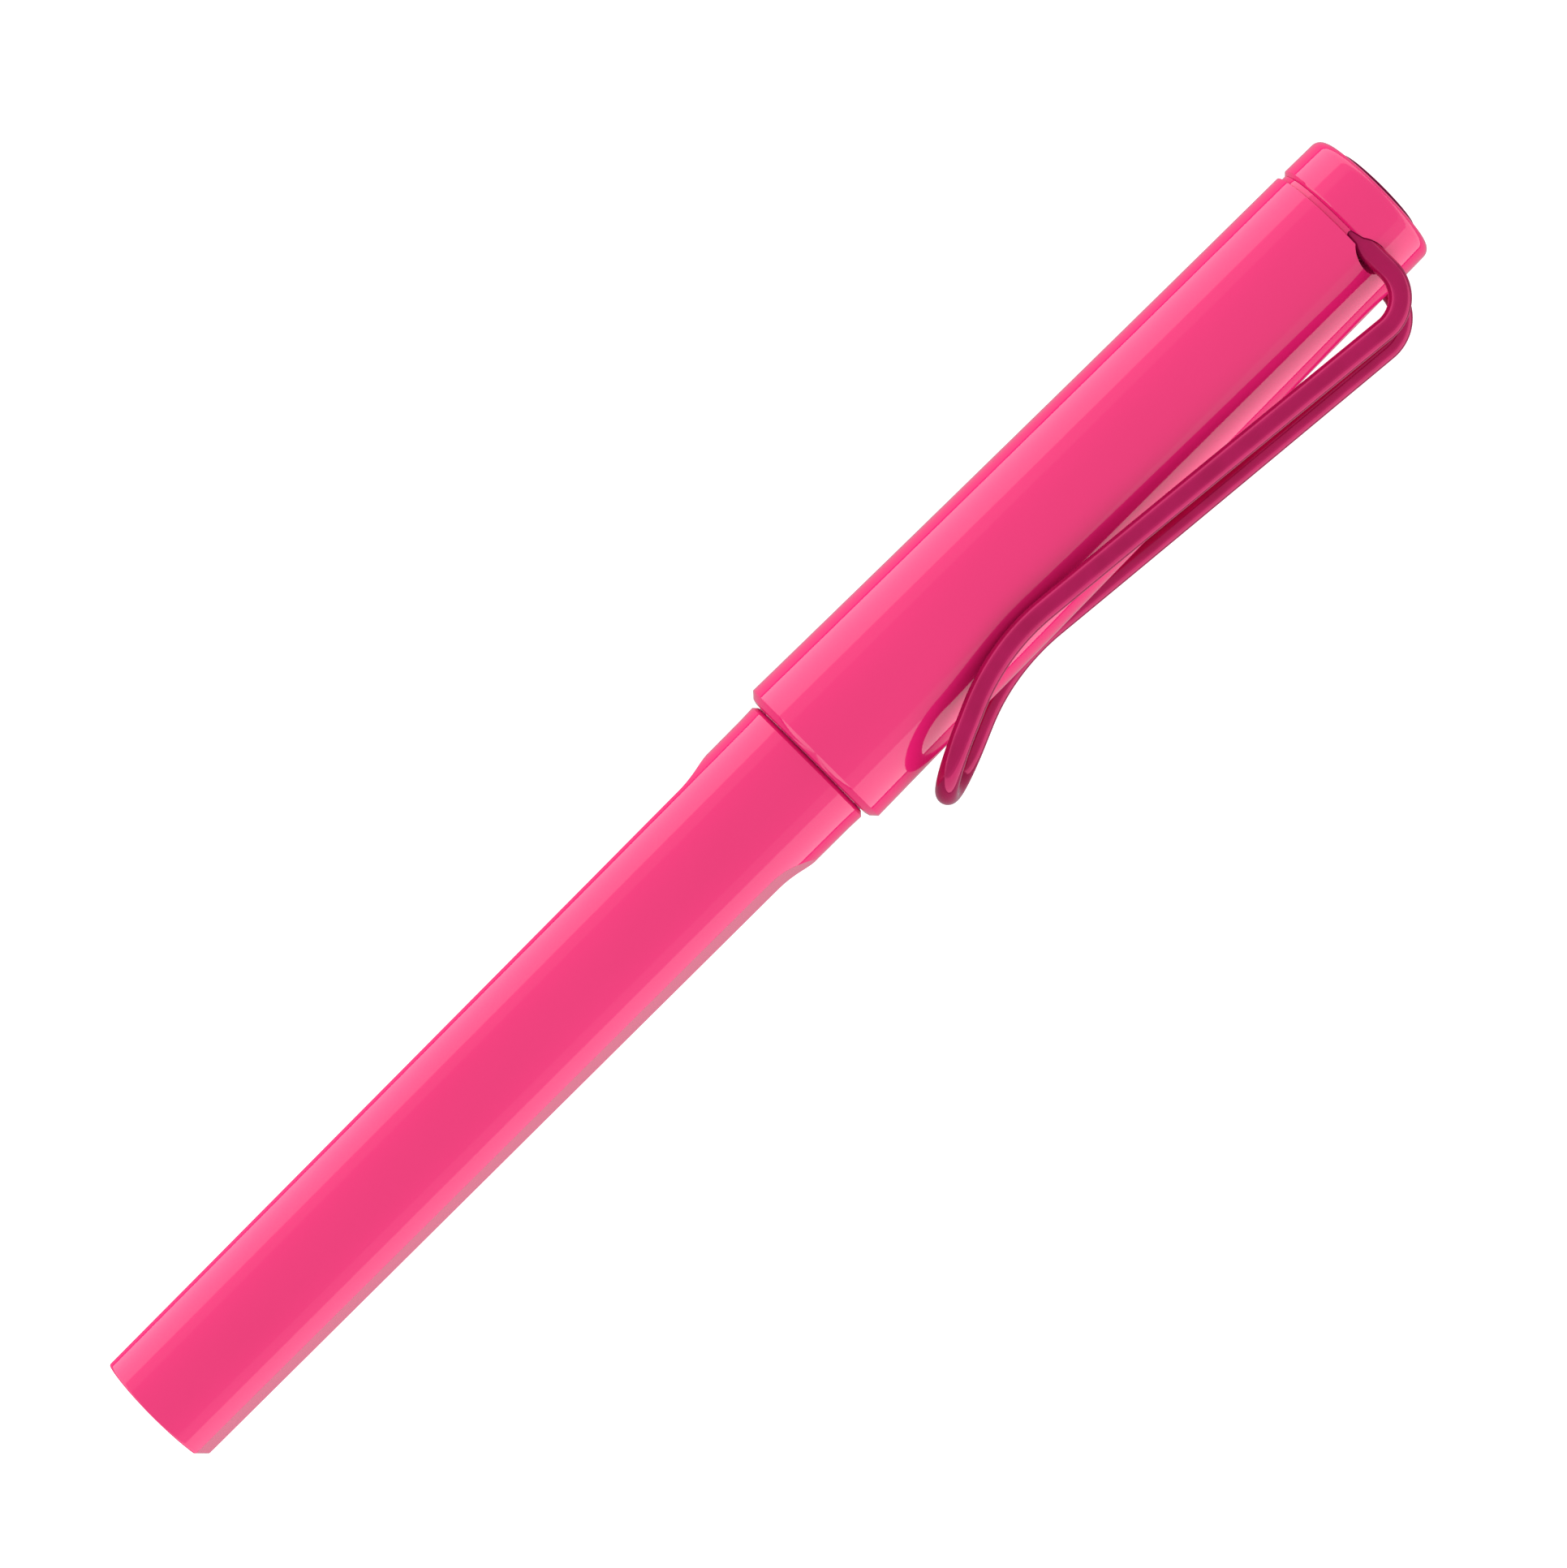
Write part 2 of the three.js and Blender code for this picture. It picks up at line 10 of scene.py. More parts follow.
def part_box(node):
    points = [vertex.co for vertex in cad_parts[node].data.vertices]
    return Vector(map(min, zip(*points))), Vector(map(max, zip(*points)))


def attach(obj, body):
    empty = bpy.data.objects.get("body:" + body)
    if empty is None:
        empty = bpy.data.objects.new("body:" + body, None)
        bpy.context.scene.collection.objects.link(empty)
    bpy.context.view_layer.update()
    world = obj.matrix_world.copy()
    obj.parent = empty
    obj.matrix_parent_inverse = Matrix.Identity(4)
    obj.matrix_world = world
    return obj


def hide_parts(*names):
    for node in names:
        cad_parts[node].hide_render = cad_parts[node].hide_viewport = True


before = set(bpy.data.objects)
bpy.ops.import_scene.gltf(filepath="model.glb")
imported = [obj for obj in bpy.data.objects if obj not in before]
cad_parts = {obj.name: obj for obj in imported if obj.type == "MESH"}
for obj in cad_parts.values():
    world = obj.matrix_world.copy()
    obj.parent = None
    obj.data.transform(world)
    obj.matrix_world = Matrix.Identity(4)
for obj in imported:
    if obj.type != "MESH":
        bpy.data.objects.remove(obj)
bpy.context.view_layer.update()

# ---------------------------------------------------------------- frame and driving sizes
# Pen coordinates are millimetres: x from the closed end of the barrel towards the cap's head,
# y and z from the pen's axis. The clip is on the -y side. A point of an outline is (x, radius),
# and a corner of one is (x, radius, fillet radius).

MM = 0.001
BARREL_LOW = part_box("barrel")[0]
DISC_LOW, DISC_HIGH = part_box("finial_screw")
AXIS_Y = (DISC_LOW.y + DISC_HIGH.y) / 2
AXIS_Z = (DISC_LOW.z + DISC_HIGH.z) / 2
SHELL_SIDES = 192
FINE_SIDES = 96
CAP_SIDES = 384


def place(x, y=0.0, z=0.0):
    """A point in pen coordinates, in the frame, in metres."""
    return Vector((BARREL_LOW.x + x * MM, AXIS_Y + y * MM, AXIS_Z + z * MM))


# ---------------------------------------------------------------- mesh tools

# On a cut piece, an edge that turns by more than SHARP_EDGE stays sharp. A fillet takes up at most
# LONGEST_REACH of each edge beside it, and a radius under ON_AXIS is a point on the axis.
FACE_WEIGHT = 80
SHARP_EDGE = radians(40)
LONGEST_REACH = 0.48
ON_AXIS = 1e-6


def even_normals(piece):
    """Lets the large faces of a smooth-shaded piece keep their own normals."""
    even = piece.modifiers.new("even_normals", "WEIGHTED_NORMAL")
    even.weight = FACE_WEIGHT
    even.keep_sharp = True


def new_object(name, bm, weighted=True):
    """Turns a bmesh into a smooth-shaded object."""
    bmesh.ops.recalc_face_normals(bm, faces=bm.faces)
    mesh = bpy.data.meshes.new(name)
    bm.to_mesh(mesh)
    bm.free()
    mesh.shade_smooth()
    piece = bpy.data.objects.new(name, mesh)
    bpy.context.scene.collection.objects.link(piece)
    if weighted:
        even_normals(piece)
    return piece


def circle(radius, sides):
    """A round section as (y, z) points. A radius may be a function of the angle."""
    points = []
    for i in range(sides):
        angle = 2 * pi * i / sides
        r = radius(angle) if callable(radius) else radius
        points.append((r * cos(angle), r * sin(angle)))
    return points


def loft(name, rings, closed):
    """A solid through rings of (x, section). A section of None is a point on the axis."""
    bm = bmesh.new()
    loops = []
    for x, section in rings:
        points = section or [(0.0, 0.0)]
        loops.append([bm.verts.new(place(x, y, z)) for y, z in points])
    pairs = list(zip(loops, loops[1:]))
    if closed:
        pairs.append((loops[-1], loops[0]))
    for a, b in pairs:
        sides = max(len(a), len(b))
        for i in range(sides):
            j = (i + 1) % sides
            if len(a) == 1:
                bm.faces.new((a[0], b[i], b[j]))
            elif len(b) == 1:
                bm.faces.new((a[i], b[0], a[j]))
            else:
                bm.faces.new((a[i], b[i], b[j], a[j]))
    return new_object(name, bm)


def lathe(name, outline, sides=FINE_SIDES):
    """A turned solid. An outline that starts and ends on the axis is open, any other is a ring."""
    rings = [(x, circle(r, sides) if callable(r) or r > ON_AXIS else None) for x, r in outline]
    return loft(name, rings, closed=rings[0][1] is not None)


def rounded(corners, steps=4):
    """Outline points for corners (x, r, fillet radius), each corner drawn as an arc.

    An arc takes up less than half of the edges beside it, so that neighbouring arcs never meet.
    """
    points = []
    for i, (x, r, fillet) in enumerate(corners):
        here = Vector((x, r))
        if fillet <= 0:
            points.append((x, r))
            continue
        before = Vector(corners[i - 1][:2]) - here
        after = Vector(corners[(i + 1) % len(corners)][:2]) - here
        half = before.angle(after) / 2
        reach = min(fillet / tan(half), LONGEST_REACH * before.length, LONGEST_REACH * after.length)
        centre = here + (before.normalized() + after.normalized()).normalized() * (reach / cos(half))
        start = here + before.normalized() * reach - centre
        end = here + after.normalized() * reach - centre
        swing = start.angle(end)
        for step in range(steps + 1):
            share = step / steps
            spoke = (start * sin((1 - share) * swing) + end * sin(share * swing)) / sin(swing)
            points.append(tuple(centre + spoke))
    return points


def densified(outline, start, end, step):
    """Adds points along the stretches of a closed outline that lie between x = start and end.

    It gives a wall small, even faces where the clip's holes are cut through it.
    """
    points = []
    for (x0, r0), (x1, r1) in zip(outline, outline[1:] + outline[:1]):
        points.append((x0, r0))
        length = hypot(x1 - x0, r1 - r0)
        if start <= x0 <= end and start <= x1 <= end and length > step:
            count = int(length / step)
            for i in range(1, count):
                share = i / count
                points.append((x0 + (x1 - x0) * share, r0 + (r1 - r0) * share))
    return points


def skin(name, loops, weighted=True):
    """A solid over equal loops of points: a band between each pair, and a cap on each end."""
    bm = bmesh.new()
    rings = [[bm.verts.new(point) for point in loop] for loop in loops]
    for a, b in zip(rings, rings[1:]):
        for k in range(len(a)):
            after = (k + 1) % len(a)
            bm.faces.new((a[k], a[after], b[after], b[k]))
    bm.faces.new(rings[0])
    bm.faces.new(rings[-1])
    return new_object(name, bm, weighted)


def sweep(name, path, radius, sides):
    """A round wire along a list of points in pen coordinates, with closed ends."""
    points = [place(*p) for p in path]
    side = Vector((1, 0, 0))
    loops = []
    for i, point in enumerate(points):
        ahead = points[min(i + 1, len(points) - 1)] - points[max(i - 1, 0)]
        ahead.normalize()
        side = (side - ahead * side.dot(ahead)).normalized()
        up = ahead.cross(side)
        loops.append([point + (side * y + up * z) * radius * MM for y, z in circle(1.0, sides)])
    return skin(name, loops, weighted=False)


def rod_along_y(x, z, low, high, radius, sides):
    """A round rod along Y, used to cut the clip's holes."""
    section = circle(radius, sides)
    loops = [[place(x + dx, y, z + dz) for dx, dz in section] for y in (low, high)]
    return skin("cutter", loops, weighted=False)


def cut(piece, cutters):
    """Subtracts the cutters from a piece and removes them."""
    piece.modifiers.clear()
    for cutter in cutters:
        step = piece.modifiers.new("cut", "BOOLEAN")
        step.operation = "DIFFERENCE"
        step.solver = "EXACT"
        step.object = cutter
    graph = bpy.context.evaluated_depsgraph_get()
    mesh = bpy.data.meshes.new_from_object(piece.evaluated_get(graph))
    piece.modifiers.clear()
    piece.data = mesh
    mesh.shade_smooth()
    mesh.set_sharp_from_angle(angle=SHARP_EDGE)
    even_normals(piece)
    for cutter in cutters:
        bpy.data.objects.remove(cutter)


def finish_piece(piece, body, nodes, material):
    """Dresses a piece, puts it on its body and lets it stand for its CAD nodes."""
    piece.data.materials.clear()
    piece.data.materials.append(material)
    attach(piece, body)
    if nodes:
        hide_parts(*nodes)


# ---------------------------------------------------------------- materials

# Socket numbers of the Mix node's two colours and of its colour result.
MIX_FIRST, MIX_SECOND, MIX_RESULT = 6, 7, 2


class Nodes:
    """Short hand for building a node material from the Principled shader."""

    def __init__(self, name):
        self.material = bpy.data.materials.new(name)
        self.material.use_nodes = True
        self.tree = self.material.node_tree
        self.shader = self.tree.nodes["Principled BSDF"]
        self.place = self.add("ShaderNodeTexCoord").outputs["Object"]

    def add(self, kind, **inputs):
        """A node with some inputs set. An underscore stands for a space in an input's name."""
        node = self.tree.nodes.new(kind)
        for key, value in inputs.items():
            node.inputs[key.replace("_", " ")].default_value = value
        return node

    def link(self, output, target):
        self.tree.links.new(output, target)

    def noise(self, size, detail=3.0, stretch=(1, 1, 1)):
        """Noise whose features are about size millimetres, stretched along the axes."""
        mapping = self.add("ShaderNodeMapping")
        mapping.inputs["Scale"].default_value = [1 / (s * size * MM) for s in stretch]
        self.link(self.place, mapping.inputs["Vector"])
        noise = self.add("ShaderNodeTexNoise", Scale=1.0, Detail=detail)
        self.link(mapping.outputs["Vector"], noise.inputs["Vector"])
        return noise.outputs["Fac"]

    def range(self, value, low, high, start=0.3, end=0.7):
        """Spreads the part of a noise between start and end over the values from low to high."""
        node = self.add("ShaderNodeMapRange")
        node.inputs["From Min"].default_value = start
        node.inputs["From Max"].default_value = end
        node.inputs["To Min"].default_value = low
        node.inputs["To Max"].default_value = high
        self.link(value, node.inputs["Value"])
        return node.outputs["Result"]

    def mix(self, share, first, second):
        """A colour between two colours."""
        node = self.tree.nodes.new("ShaderNodeMix")
        node.data_type = "RGBA"
        self.link(share, node.inputs["Factor"])
        node.inputs[MIX_FIRST].default_value = (*first, 1)
        node.inputs[MIX_SECOND].default_value = (*second, 1)
        return node.outputs[MIX_RESULT]

    def bump(self, value, height, strength):
        """A bump whose height is in millimetres."""
        node = self.add("ShaderNodeBump", Strength=strength, Distance=height * MM)
        self.link(value, node.inputs["Height"])
        return node

    def colour(self, output):
        self.link(output, self.shader.inputs["Base Color"])

    def roughness(self, output):
        self.link(output, self.shader.inputs["Roughness"])

    def normal(self, output):
        self.link(output, self.shader.inputs["Normal"])

    def set(self, **values):
        """Sets inputs of the Principled shader."""
        for key, value in values.items():
            self.shader.inputs[key.replace("_", " ")].default_value = value


def moulded_plastic(name, colour, shade, roughness, ior=1.54):
    """Glossy or satin moulding: faint flow variation, orange peel, fine handling scratches."""
    nodes = Nodes(name)
    flow = nodes.range(nodes.noise(9.0, stretch=(3, 1, 1)), 0, 1)
    nodes.colour(nodes.mix(flow, colour, shade))
    scratches = nodes.noise(0.25, detail=5.0, stretch=(14, 1, 1))
    nodes.roughness(nodes.range(scratches, *roughness, start=0.35, end=0.75))
    peel = nodes.bump(nodes.noise(1.4, detail=2.0), height=0.002, strength=0.35)
    hairlines = nodes.bump(scratches, height=0.0006, strength=0.3)
    nodes.link(peel.outputs["Normal"], hairlines.inputs["Normal"])
    nodes.normal(hairlines.outputs["Normal"])
    nodes.set(IOR=ior)
    return nodes.material


def clip_lacquer():
    """Dark magenta lacquer over steel wire."""
    nodes = Nodes("clip_lacquer")
    cloud = nodes.range(nodes.noise(2.5), 0, 1)
    nodes.colour(nodes.mix(cloud, (0.295, 0.002, 0.056), (0.335, 0.003, 0.068)))
    rubbing = nodes.noise(0.4, detail=5.0, stretch=(8, 1, 1))
    nodes.roughness(nodes.range(rubbing, 0.07, 0.13, start=0.35, end=0.75))
    waves = nodes.bump(nodes.noise(0.9, detail=2.0), height=0.002, strength=0.4)
    nodes.normal(waves.outputs["Normal"])
    nodes.set(Metallic=0.4, IOR=1.52, Specular_Tint=(1.0, 0.5, 0.75, 1.0))
    return nodes.material


def felt(name, colour, shade):
    """Pressed fibres."""
    nodes = Nodes(name)
    fibres = nodes.noise(0.12, detail=6.0, stretch=(6, 1, 1))
    nodes.colour(nodes.mix(nodes.range(fibres, 0, 1), colour, shade))
    nodes.roughness(nodes.range(fibres, 0.85, 1.0))
    nodes.normal(nodes.bump(fibres, height=0.04, strength=0.6).outputs["Normal"])
    nodes.set(Sheen_Weight=0.3)
    return nodes.material


def bare_metal(name, colour, shade):
    """Turned or stamped metal with fine marks."""
    nodes = Nodes(name)
    marks = nodes.noise(0.15, detail=5.0, stretch=(1, 6, 6))
    nodes.colour(nodes.mix(nodes.range(marks, 0, 1), colour, shade))
    nodes.roughness(nodes.range(marks, 0.22, 0.38))
    nodes.normal(nodes.bump(marks, height=0.004, strength=0.4).outputs["Normal"])
    nodes.set(Metallic=1.0)
    return nodes.material


def clear_plastic(name, colour, roughness):
    """Translucent moulding with a slight tint."""
    nodes = Nodes(name)
    shade = [level * 0.92 for level in colour]
    nodes.colour(nodes.mix(nodes.range(nodes.noise(6.0), 0, 1), colour, shade))
    nodes.roughness(nodes.range(nodes.noise(0.5, detail=4.0), roughness, roughness + 0.08))
    waves = nodes.bump(nodes.noise(1.2, detail=2.0), height=0.003, strength=0.3)
    nodes.normal(waves.outputs["Normal"])
    nodes.set(Transmission_Weight=0.9, IOR=1.45)
    return nodes.material


def rubber():
    """Black seal rubber with a fine grain."""
    nodes = Nodes("seal_rubber")
    cloud = nodes.range(nodes.noise(0.8), 0, 1)
    nodes.colour(nodes.mix(cloud, (0.012, 0.01, 0.012), (0.03, 0.026, 0.03)))
    nodes.roughness(nodes.range(nodes.noise(0.3, detail=4.0), 0.5, 0.7))
    grain = nodes.bump(nodes.noise(0.2), height=0.01, strength=0.4)
    nodes.normal(grain.outputs["Normal"])
    return nodes.material


# A moulded plastic has two colours, which the flow marks blend, and a range of roughness.
PINK = moulded_plastic(
    "neon_pink_plastic", (0.60, 0.0095, 0.12), (0.622, 0.0115, 0.128), roughness=(0.025, 0.06),
)
CLIP = clip_lacquer()
DISC = moulded_plastic(
    "dark_magenta_plastic", (0.12, 0.001, 0.035), (0.15, 0.002, 0.04), roughness=(0.3, 0.4), ior=1.15,
)
DARK_SATIN = moulded_plastic(
    "dark_ring_plastic", (0.012, 0.005, 0.011), (0.02, 0.008, 0.017), roughness=(0.28, 0.4),
)
FEED = moulded_plastic(
    "feed_plastic", (0.72, 0.69, 0.66), (0.66, 0.63, 0.60), roughness=(0.3, 0.42),
)
LINER = moulded_plastic(
    "liner_plastic", (0.80, 0.74, 0.76), (0.74, 0.68, 0.70), roughness=(0.3, 0.42),
)
NIB_FELT = felt("nib_felt", (0.95, 0.07, 0.27), (0.78, 0.03, 0.17))
WICK_FELT = felt("wick_fibre", (0.90, 0.45, 0.55), (0.82, 0.35, 0.45))
BRASS = bare_metal("nut_brass", (0.62, 0.44, 0.17), (0.54, 0.37, 0.13))
STEEL = bare_metal("washer_steel", (0.55, 0.55, 0.53), (0.46, 0.46, 0.45))
CARTRIDGE = clear_plastic("cartridge_plastic", (0.98, 0.86, 0.90), roughness=0.12)
INK = moulded_plastic("ink", (0.85, 0.03, 0.16), (0.80, 0.025, 0.14), roughness=(0.05, 0.1))
PLUG = moulded_plastic("plug_plastic", (0.66, 0.02, 0.12), (0.72, 0.03, 0.14), roughness=(0.12, 0.2))
GLASS = clear_plastic("ball_glass", (0.95, 0.97, 1.0), roughness=0.02)
RUBBER = rubber()

# ---------------------------------------------------------------- thread

# The ridge is as wide as twice FOOT at its root and twice CREST at its top.
THREAD_PITCH = 0.9
THREAD_STEPS = 64
FADE_STEPS = 24
LEAST_FADE = 0.02
FOOT, CREST = 0.30 * THREAD_PITCH, 0.10 * THREAD_PITCH


def thread(name, root, crest, start, turns):
    """A thread ridge from the root radius to the crest radius, fading out at both ends."""
    count = int(turns * THREAD_STEPS)
    loops = []
    for i in range(count + 1):
        angle = 2 * pi * i / THREAD_STEPS
        fade = min(1.0, i / FADE_STEPS, (count - i) / FADE_STEPS)
        top = root + (crest - root) * max(fade, LEAST_FADE)
        middle = start + THREAD_PITCH * i / THREAD_STEPS
        profile = [(-FOOT, root), (-CREST, top), (CREST, top), (FOOT, root)]
        loops.append([place(middle + dx, r * cos(angle), r * sin(angle)) for dx, r in profile])
    return skin(name, loops)


# ---------------------------------------------------------------- barrel

REAR_RADIUS, FRONT_RADIUS = 5.85, 6.14
FLAT_AT_END, FLAT_AT_COLLAR = 5.02, 5.285
FLAT_LENGTH = 65.0
RAMP_END = 68.9
RAMP_SLOPE = 0.33
RAMP_BLEND_RADIUS = 8.0
BARREL_END = 74.3
COLLAR_RADIUS = 6.22
MOUTH_CHAMFER_LENGTH, MOUTH_CHAMFER_DEPTH = 0.33, 0.36
MOUTH_RADIUS = 5.2
CREASE_RADIUS = 0.16
END_FACE_SHARES = (0.35, 0.7, 0.93)
END_ROUND, END_ROUND_STEPS = 0.25, 5
END_WALL = 1.7
BORE_RADIUS, BORE_END = 4.2, 65.9
SOCKET_RADIUS, SOCKET_START = 5.0, 66.7

# Points of a quarter of the barrel's section. A flat never gets narrower than its least half angle,
# so every section has the same points, also where the ramp has run out.
FLAT_POINTS, CREASE_POINTS, ARC_POINTS = 8, 4, 26
LEAST_HALF_ANGLE = radians(0.8)


def barrel_radius(x):
    """The round part's radius: a slight taper up to the collar."""
    return min(REAR_RADIUS + (FRONT_RADIUS - REAR_RADIUS) * x / FLAT_LENGTH, COLLAR_RADIUS)


def flat_distance(x):
    """Distance of a flat from the axis: nearly level, then a short blend and a straight ramp."""
    flat = FLAT_AT_END + (FLAT_AT_COLLAR - FLAT_AT_END) * min(x, FLAT_LENGTH) / FLAT_LENGTH
    along = max(x - FLAT_LENGTH, 0.0)
    blend_length = min(along, RAMP_BLEND_RADIUS * sin(atan(RAMP_SLOPE)))
    blend_rise = RAMP_BLEND_RADIUS - sqrt(RAMP_BLEND_RADIUS ** 2 - blend_length ** 2)
    return flat + blend_rise + (along - blend_length) * RAMP_SLOPE


def flatted_section(radius, flat):
    """A circle with a flat on each Y side and a small fillet along each crease."""
    flat = min(flat, radius * cos(LEAST_HALF_ANGLE))
    inner_y = flat - CREASE_RADIUS
    inner_z = sqrt((radius - CREASE_RADIUS) ** 2 - inner_y ** 2)
    turn = atan2(inner_z, inner_y)
    quarter = [(flat, inner_z * i / FLAT_POINTS) for i in range(FLAT_POINTS)]
    for i in range(CREASE_POINTS):
        angle = turn * i / CREASE_POINTS
        quarter.append((inner_y + CREASE_RADIUS * cos(angle), inner_z + CREASE_RADIUS * sin(angle)))
    for i in range(ARC_POINTS):
        angle = turn + (pi / 2 - turn) * i / ARC_POINTS
        quarter.append((radius * cos(angle), radius * sin(angle)))
    half = quarter + [(0.0, radius)] + [(-y, z) for y, z in reversed(quarter[1:])]
    return half + [(-y, -z) for y, z in half]


def steps_between(start, end, count):
    """Even steps from the start, without the end."""
    return [start + (end - start) * i / count for i in range(count)]


def barrel_ring(x, inset=0.0):
    """The barrel's outline at x, drawn in by the inset."""
    return x, flatted_section(barrel_radius(x) - inset, flat_distance(x) - inset)


def barrel_outside():
    """Rings from the middle of the closed end, over its rounded edge, to the collar."""
    rings = [(0.0, None)]
    rings += [barrel_ring(0.0, REAR_RADIUS * (1 - share)) for share in END_FACE_SHARES]
    for i in range(END_ROUND_STEPS + 1):
        angle = pi / 2 * i / END_ROUND_STEPS
        rings.append(barrel_ring(END_ROUND * (1 - cos(angle)), END_ROUND * (1 - sin(angle))))
    ramp_start, collar_start, mouth_start = FLAT_LENGTH - 0.2, RAMP_END + 0.3, BARREL_END - 1.1
    stations = (
        steps_between(END_ROUND + 0.05, ramp_start, 30)
        + steps_between(ramp_start, collar_start, 48)
        + steps_between(collar_start, mouth_start, 6)
    )
    return rings + [barrel_ring(x) for x in stations]


def barrel_inside():
    """Rings from the collar, over the chamfered mouth and through the bore, to its end wall."""
    outline = rounded([
        (BARREL_END - 1.0, COLLAR_RADIUS, 0),
        (BARREL_END - MOUTH_CHAMFER_LENGTH, COLLAR_RADIUS, 0.05),
        (BARREL_END, COLLAR_RADIUS - MOUTH_CHAMFER_DEPTH, 0.08),
        (BARREL_END, MOUTH_RADIUS, 0.06),
        (BARREL_END - 0.3, SOCKET_RADIUS, 0.1),
        (SOCKET_START, SOCKET_RADIUS, 0.1),
        (BORE_END, BORE_RADIUS, 0.2),
        (END_WALL, BORE_RADIUS, 0.5),
        (END_WALL, 0.0, 0),
    ])[1:-1]
    return [(x, flatted_section(r, r)) for x, r in outline] + [(END_WALL, None)]


def barrel():
    """The long shell with two flats, and the thread in its mouth."""
    shell = loft("barrel_shell", barrel_outside() + barrel_inside(), closed=False)
    finish_piece(shell, "barrel", ["barrel"], PINK)
    ridge = thread("barrel_thread", root=5.03, crest=4.84, start=68.0, turns=5)
    finish_piece(ridge, "barrel", [], PINK)


# ---------------------------------------------------------------- grip section, feed and nib

SPIGOT_START, SPIGOT_RADIUS, SPIGOT_BORE = 67.4, 4.55, 3.8
SEAL_SEAT_START, SEAL_SEAT_RADIUS = 72.5, 4.35
SHOULDER_START, SHOULDER_RADIUS, SHOULDER_END = 74.31, 5.7, 77.2
GROOVE_START, GROOVE_END, GROOVE_RADIUS = 75.6, 76.8, 5.2
GRIP_START, GRIP_END = 80.0, 103.0
GRIP_RADIUS, GRIP_FLAT = 5.6, 4.75
# Past its ends a finger flat moves out to RUN_OUT_RADIUS over RUN_OUT_LENGTH. Its edges are
# softened within FLAT_SOFTNESS of the round grip.
RUN_OUT_LENGTH, RUN_OUT_RADIUS = 3.0, GRIP_RADIUS + 0.15
FINGER_FLATS, FLAT_SOFTNESS = 3, 0.12
LEAST_FACING = 0.3
SHOULDER_RISE = 0.09
NOSE_START, NOSE_END, NOSE_SLOPE = 105.0, 112.0, 0.2
FEED_BORE_START, FEED_BORE, COLLAR_BORE = 77.0, 3.6, 3.0


def grip_radius(x, angle):
    """Finger flats sunk into a round grip, run out at both ends, with a soft edge on each side."""
    beyond = max(GRIP_START - x, x - GRIP_END, 0.0)
    flat = GRIP_FLAT + (RUN_OUT_RADIUS - GRIP_FLAT) * beyond / RUN_OUT_LENGTH
    result = GRIP_RADIUS - NOSE_SLOPE * max(x - GRIP_END, 0.0)
    for k in range(FINGER_FLATS):
        facing = cos(angle - 2 * pi * k / FINGER_FLATS)
        if facing > LEAST_FACING:
            reach = flat / facing
            nearness = max(FLAT_SOFTNESS - abs(result - reach), 0.0) / FLAT_SOFTNESS
            result = min(result, reach) - nearness ** 2 * FLAT_SOFTNESS / 4
    return result


def grip_section():
    """The front of the pen: spigot, seal seat, shoulder with a groove, grip and nose."""
    rear = rounded([
        (SPIGOT_START, SPIGOT_BORE, 0), (SPIGOT_START, SPIGOT_RADIUS - 0.15, 0.15),
        (SPIGOT_START + 0.5, SPIGOT_RADIUS, 0.1), (SEAL_SEAT_START, SPIGOT_RADIUS, 0.05),
        (SEAL_SEAT_START, SEAL_SEAT_RADIUS, 0.05), (SHOULDER_START, SEAL_SEAT_RADIUS, 0.1),
        (SHOULDER_START, SHOULDER_RADIUS + 0.05, 0.03), (GROOVE_START, SHOULDER_RADIUS, 0.05),
        (GROOVE_START, GROOVE_RADIUS, 0.05), (GROOVE_END, GROOVE_RADIUS, 0.05),
        (GROOVE_END, SHOULDER_RADIUS, 0.05), (SHOULDER_END, SHOULDER_RADIUS - 0.01, 0),
    ])[:-1]
    grip = []
    for x in steps_between(SHOULDER_END, NOSE_START, 110):
        rise = SHOULDER_RISE * max(SHOULDER_END + 1.0 - x, 0.0)
        grip.append((x, lambda angle, x=x, rise=rise: grip_radius(x, angle) + rise))
    front = rounded([
        (NOSE_START - 0.1, 5.2, 0), (NOSE_START + 0.2, 5.12, 0.4), (NOSE_START + 2.0, 4.4, 0.8),
        (NOSE_END - 0.4, 4.2, 0.3), (NOSE_END, 3.8, 0.15), (NOSE_END, COLLAR_BORE, 0.06),
        (NOSE_START, COLLAR_BORE, 0.05), (NOSE_START, FEED_BORE, 0.05),
        (FEED_BORE_START, FEED_BORE, 0.05), (FEED_BORE_START, SPIGOT_BORE, 0.05),
    ])[1:]
    body = lathe("grip_section_shell", rear + grip + front, SHELL_SIDES)
    finish_piece(body, "pen_front", ["grip_section"], PINK)
    ridge = thread("section_thread", root=4.5, crest=4.69, start=68.2, turns=4.5)
    finish_piece(ridge, "pen_front", [], PINK)


SNAP_START, SNAP_END, SNAP_BORE, SNAP_SIDE, SNAP_CREST = 75.72, 76.68, 5.3, 5.68, 5.88
SEAL_X, SEAL_MIDDLE_RADIUS, SEAL_WIRE_RADIUS = 73.1, 4.65, 0.27
SEAL_STEPS = 20


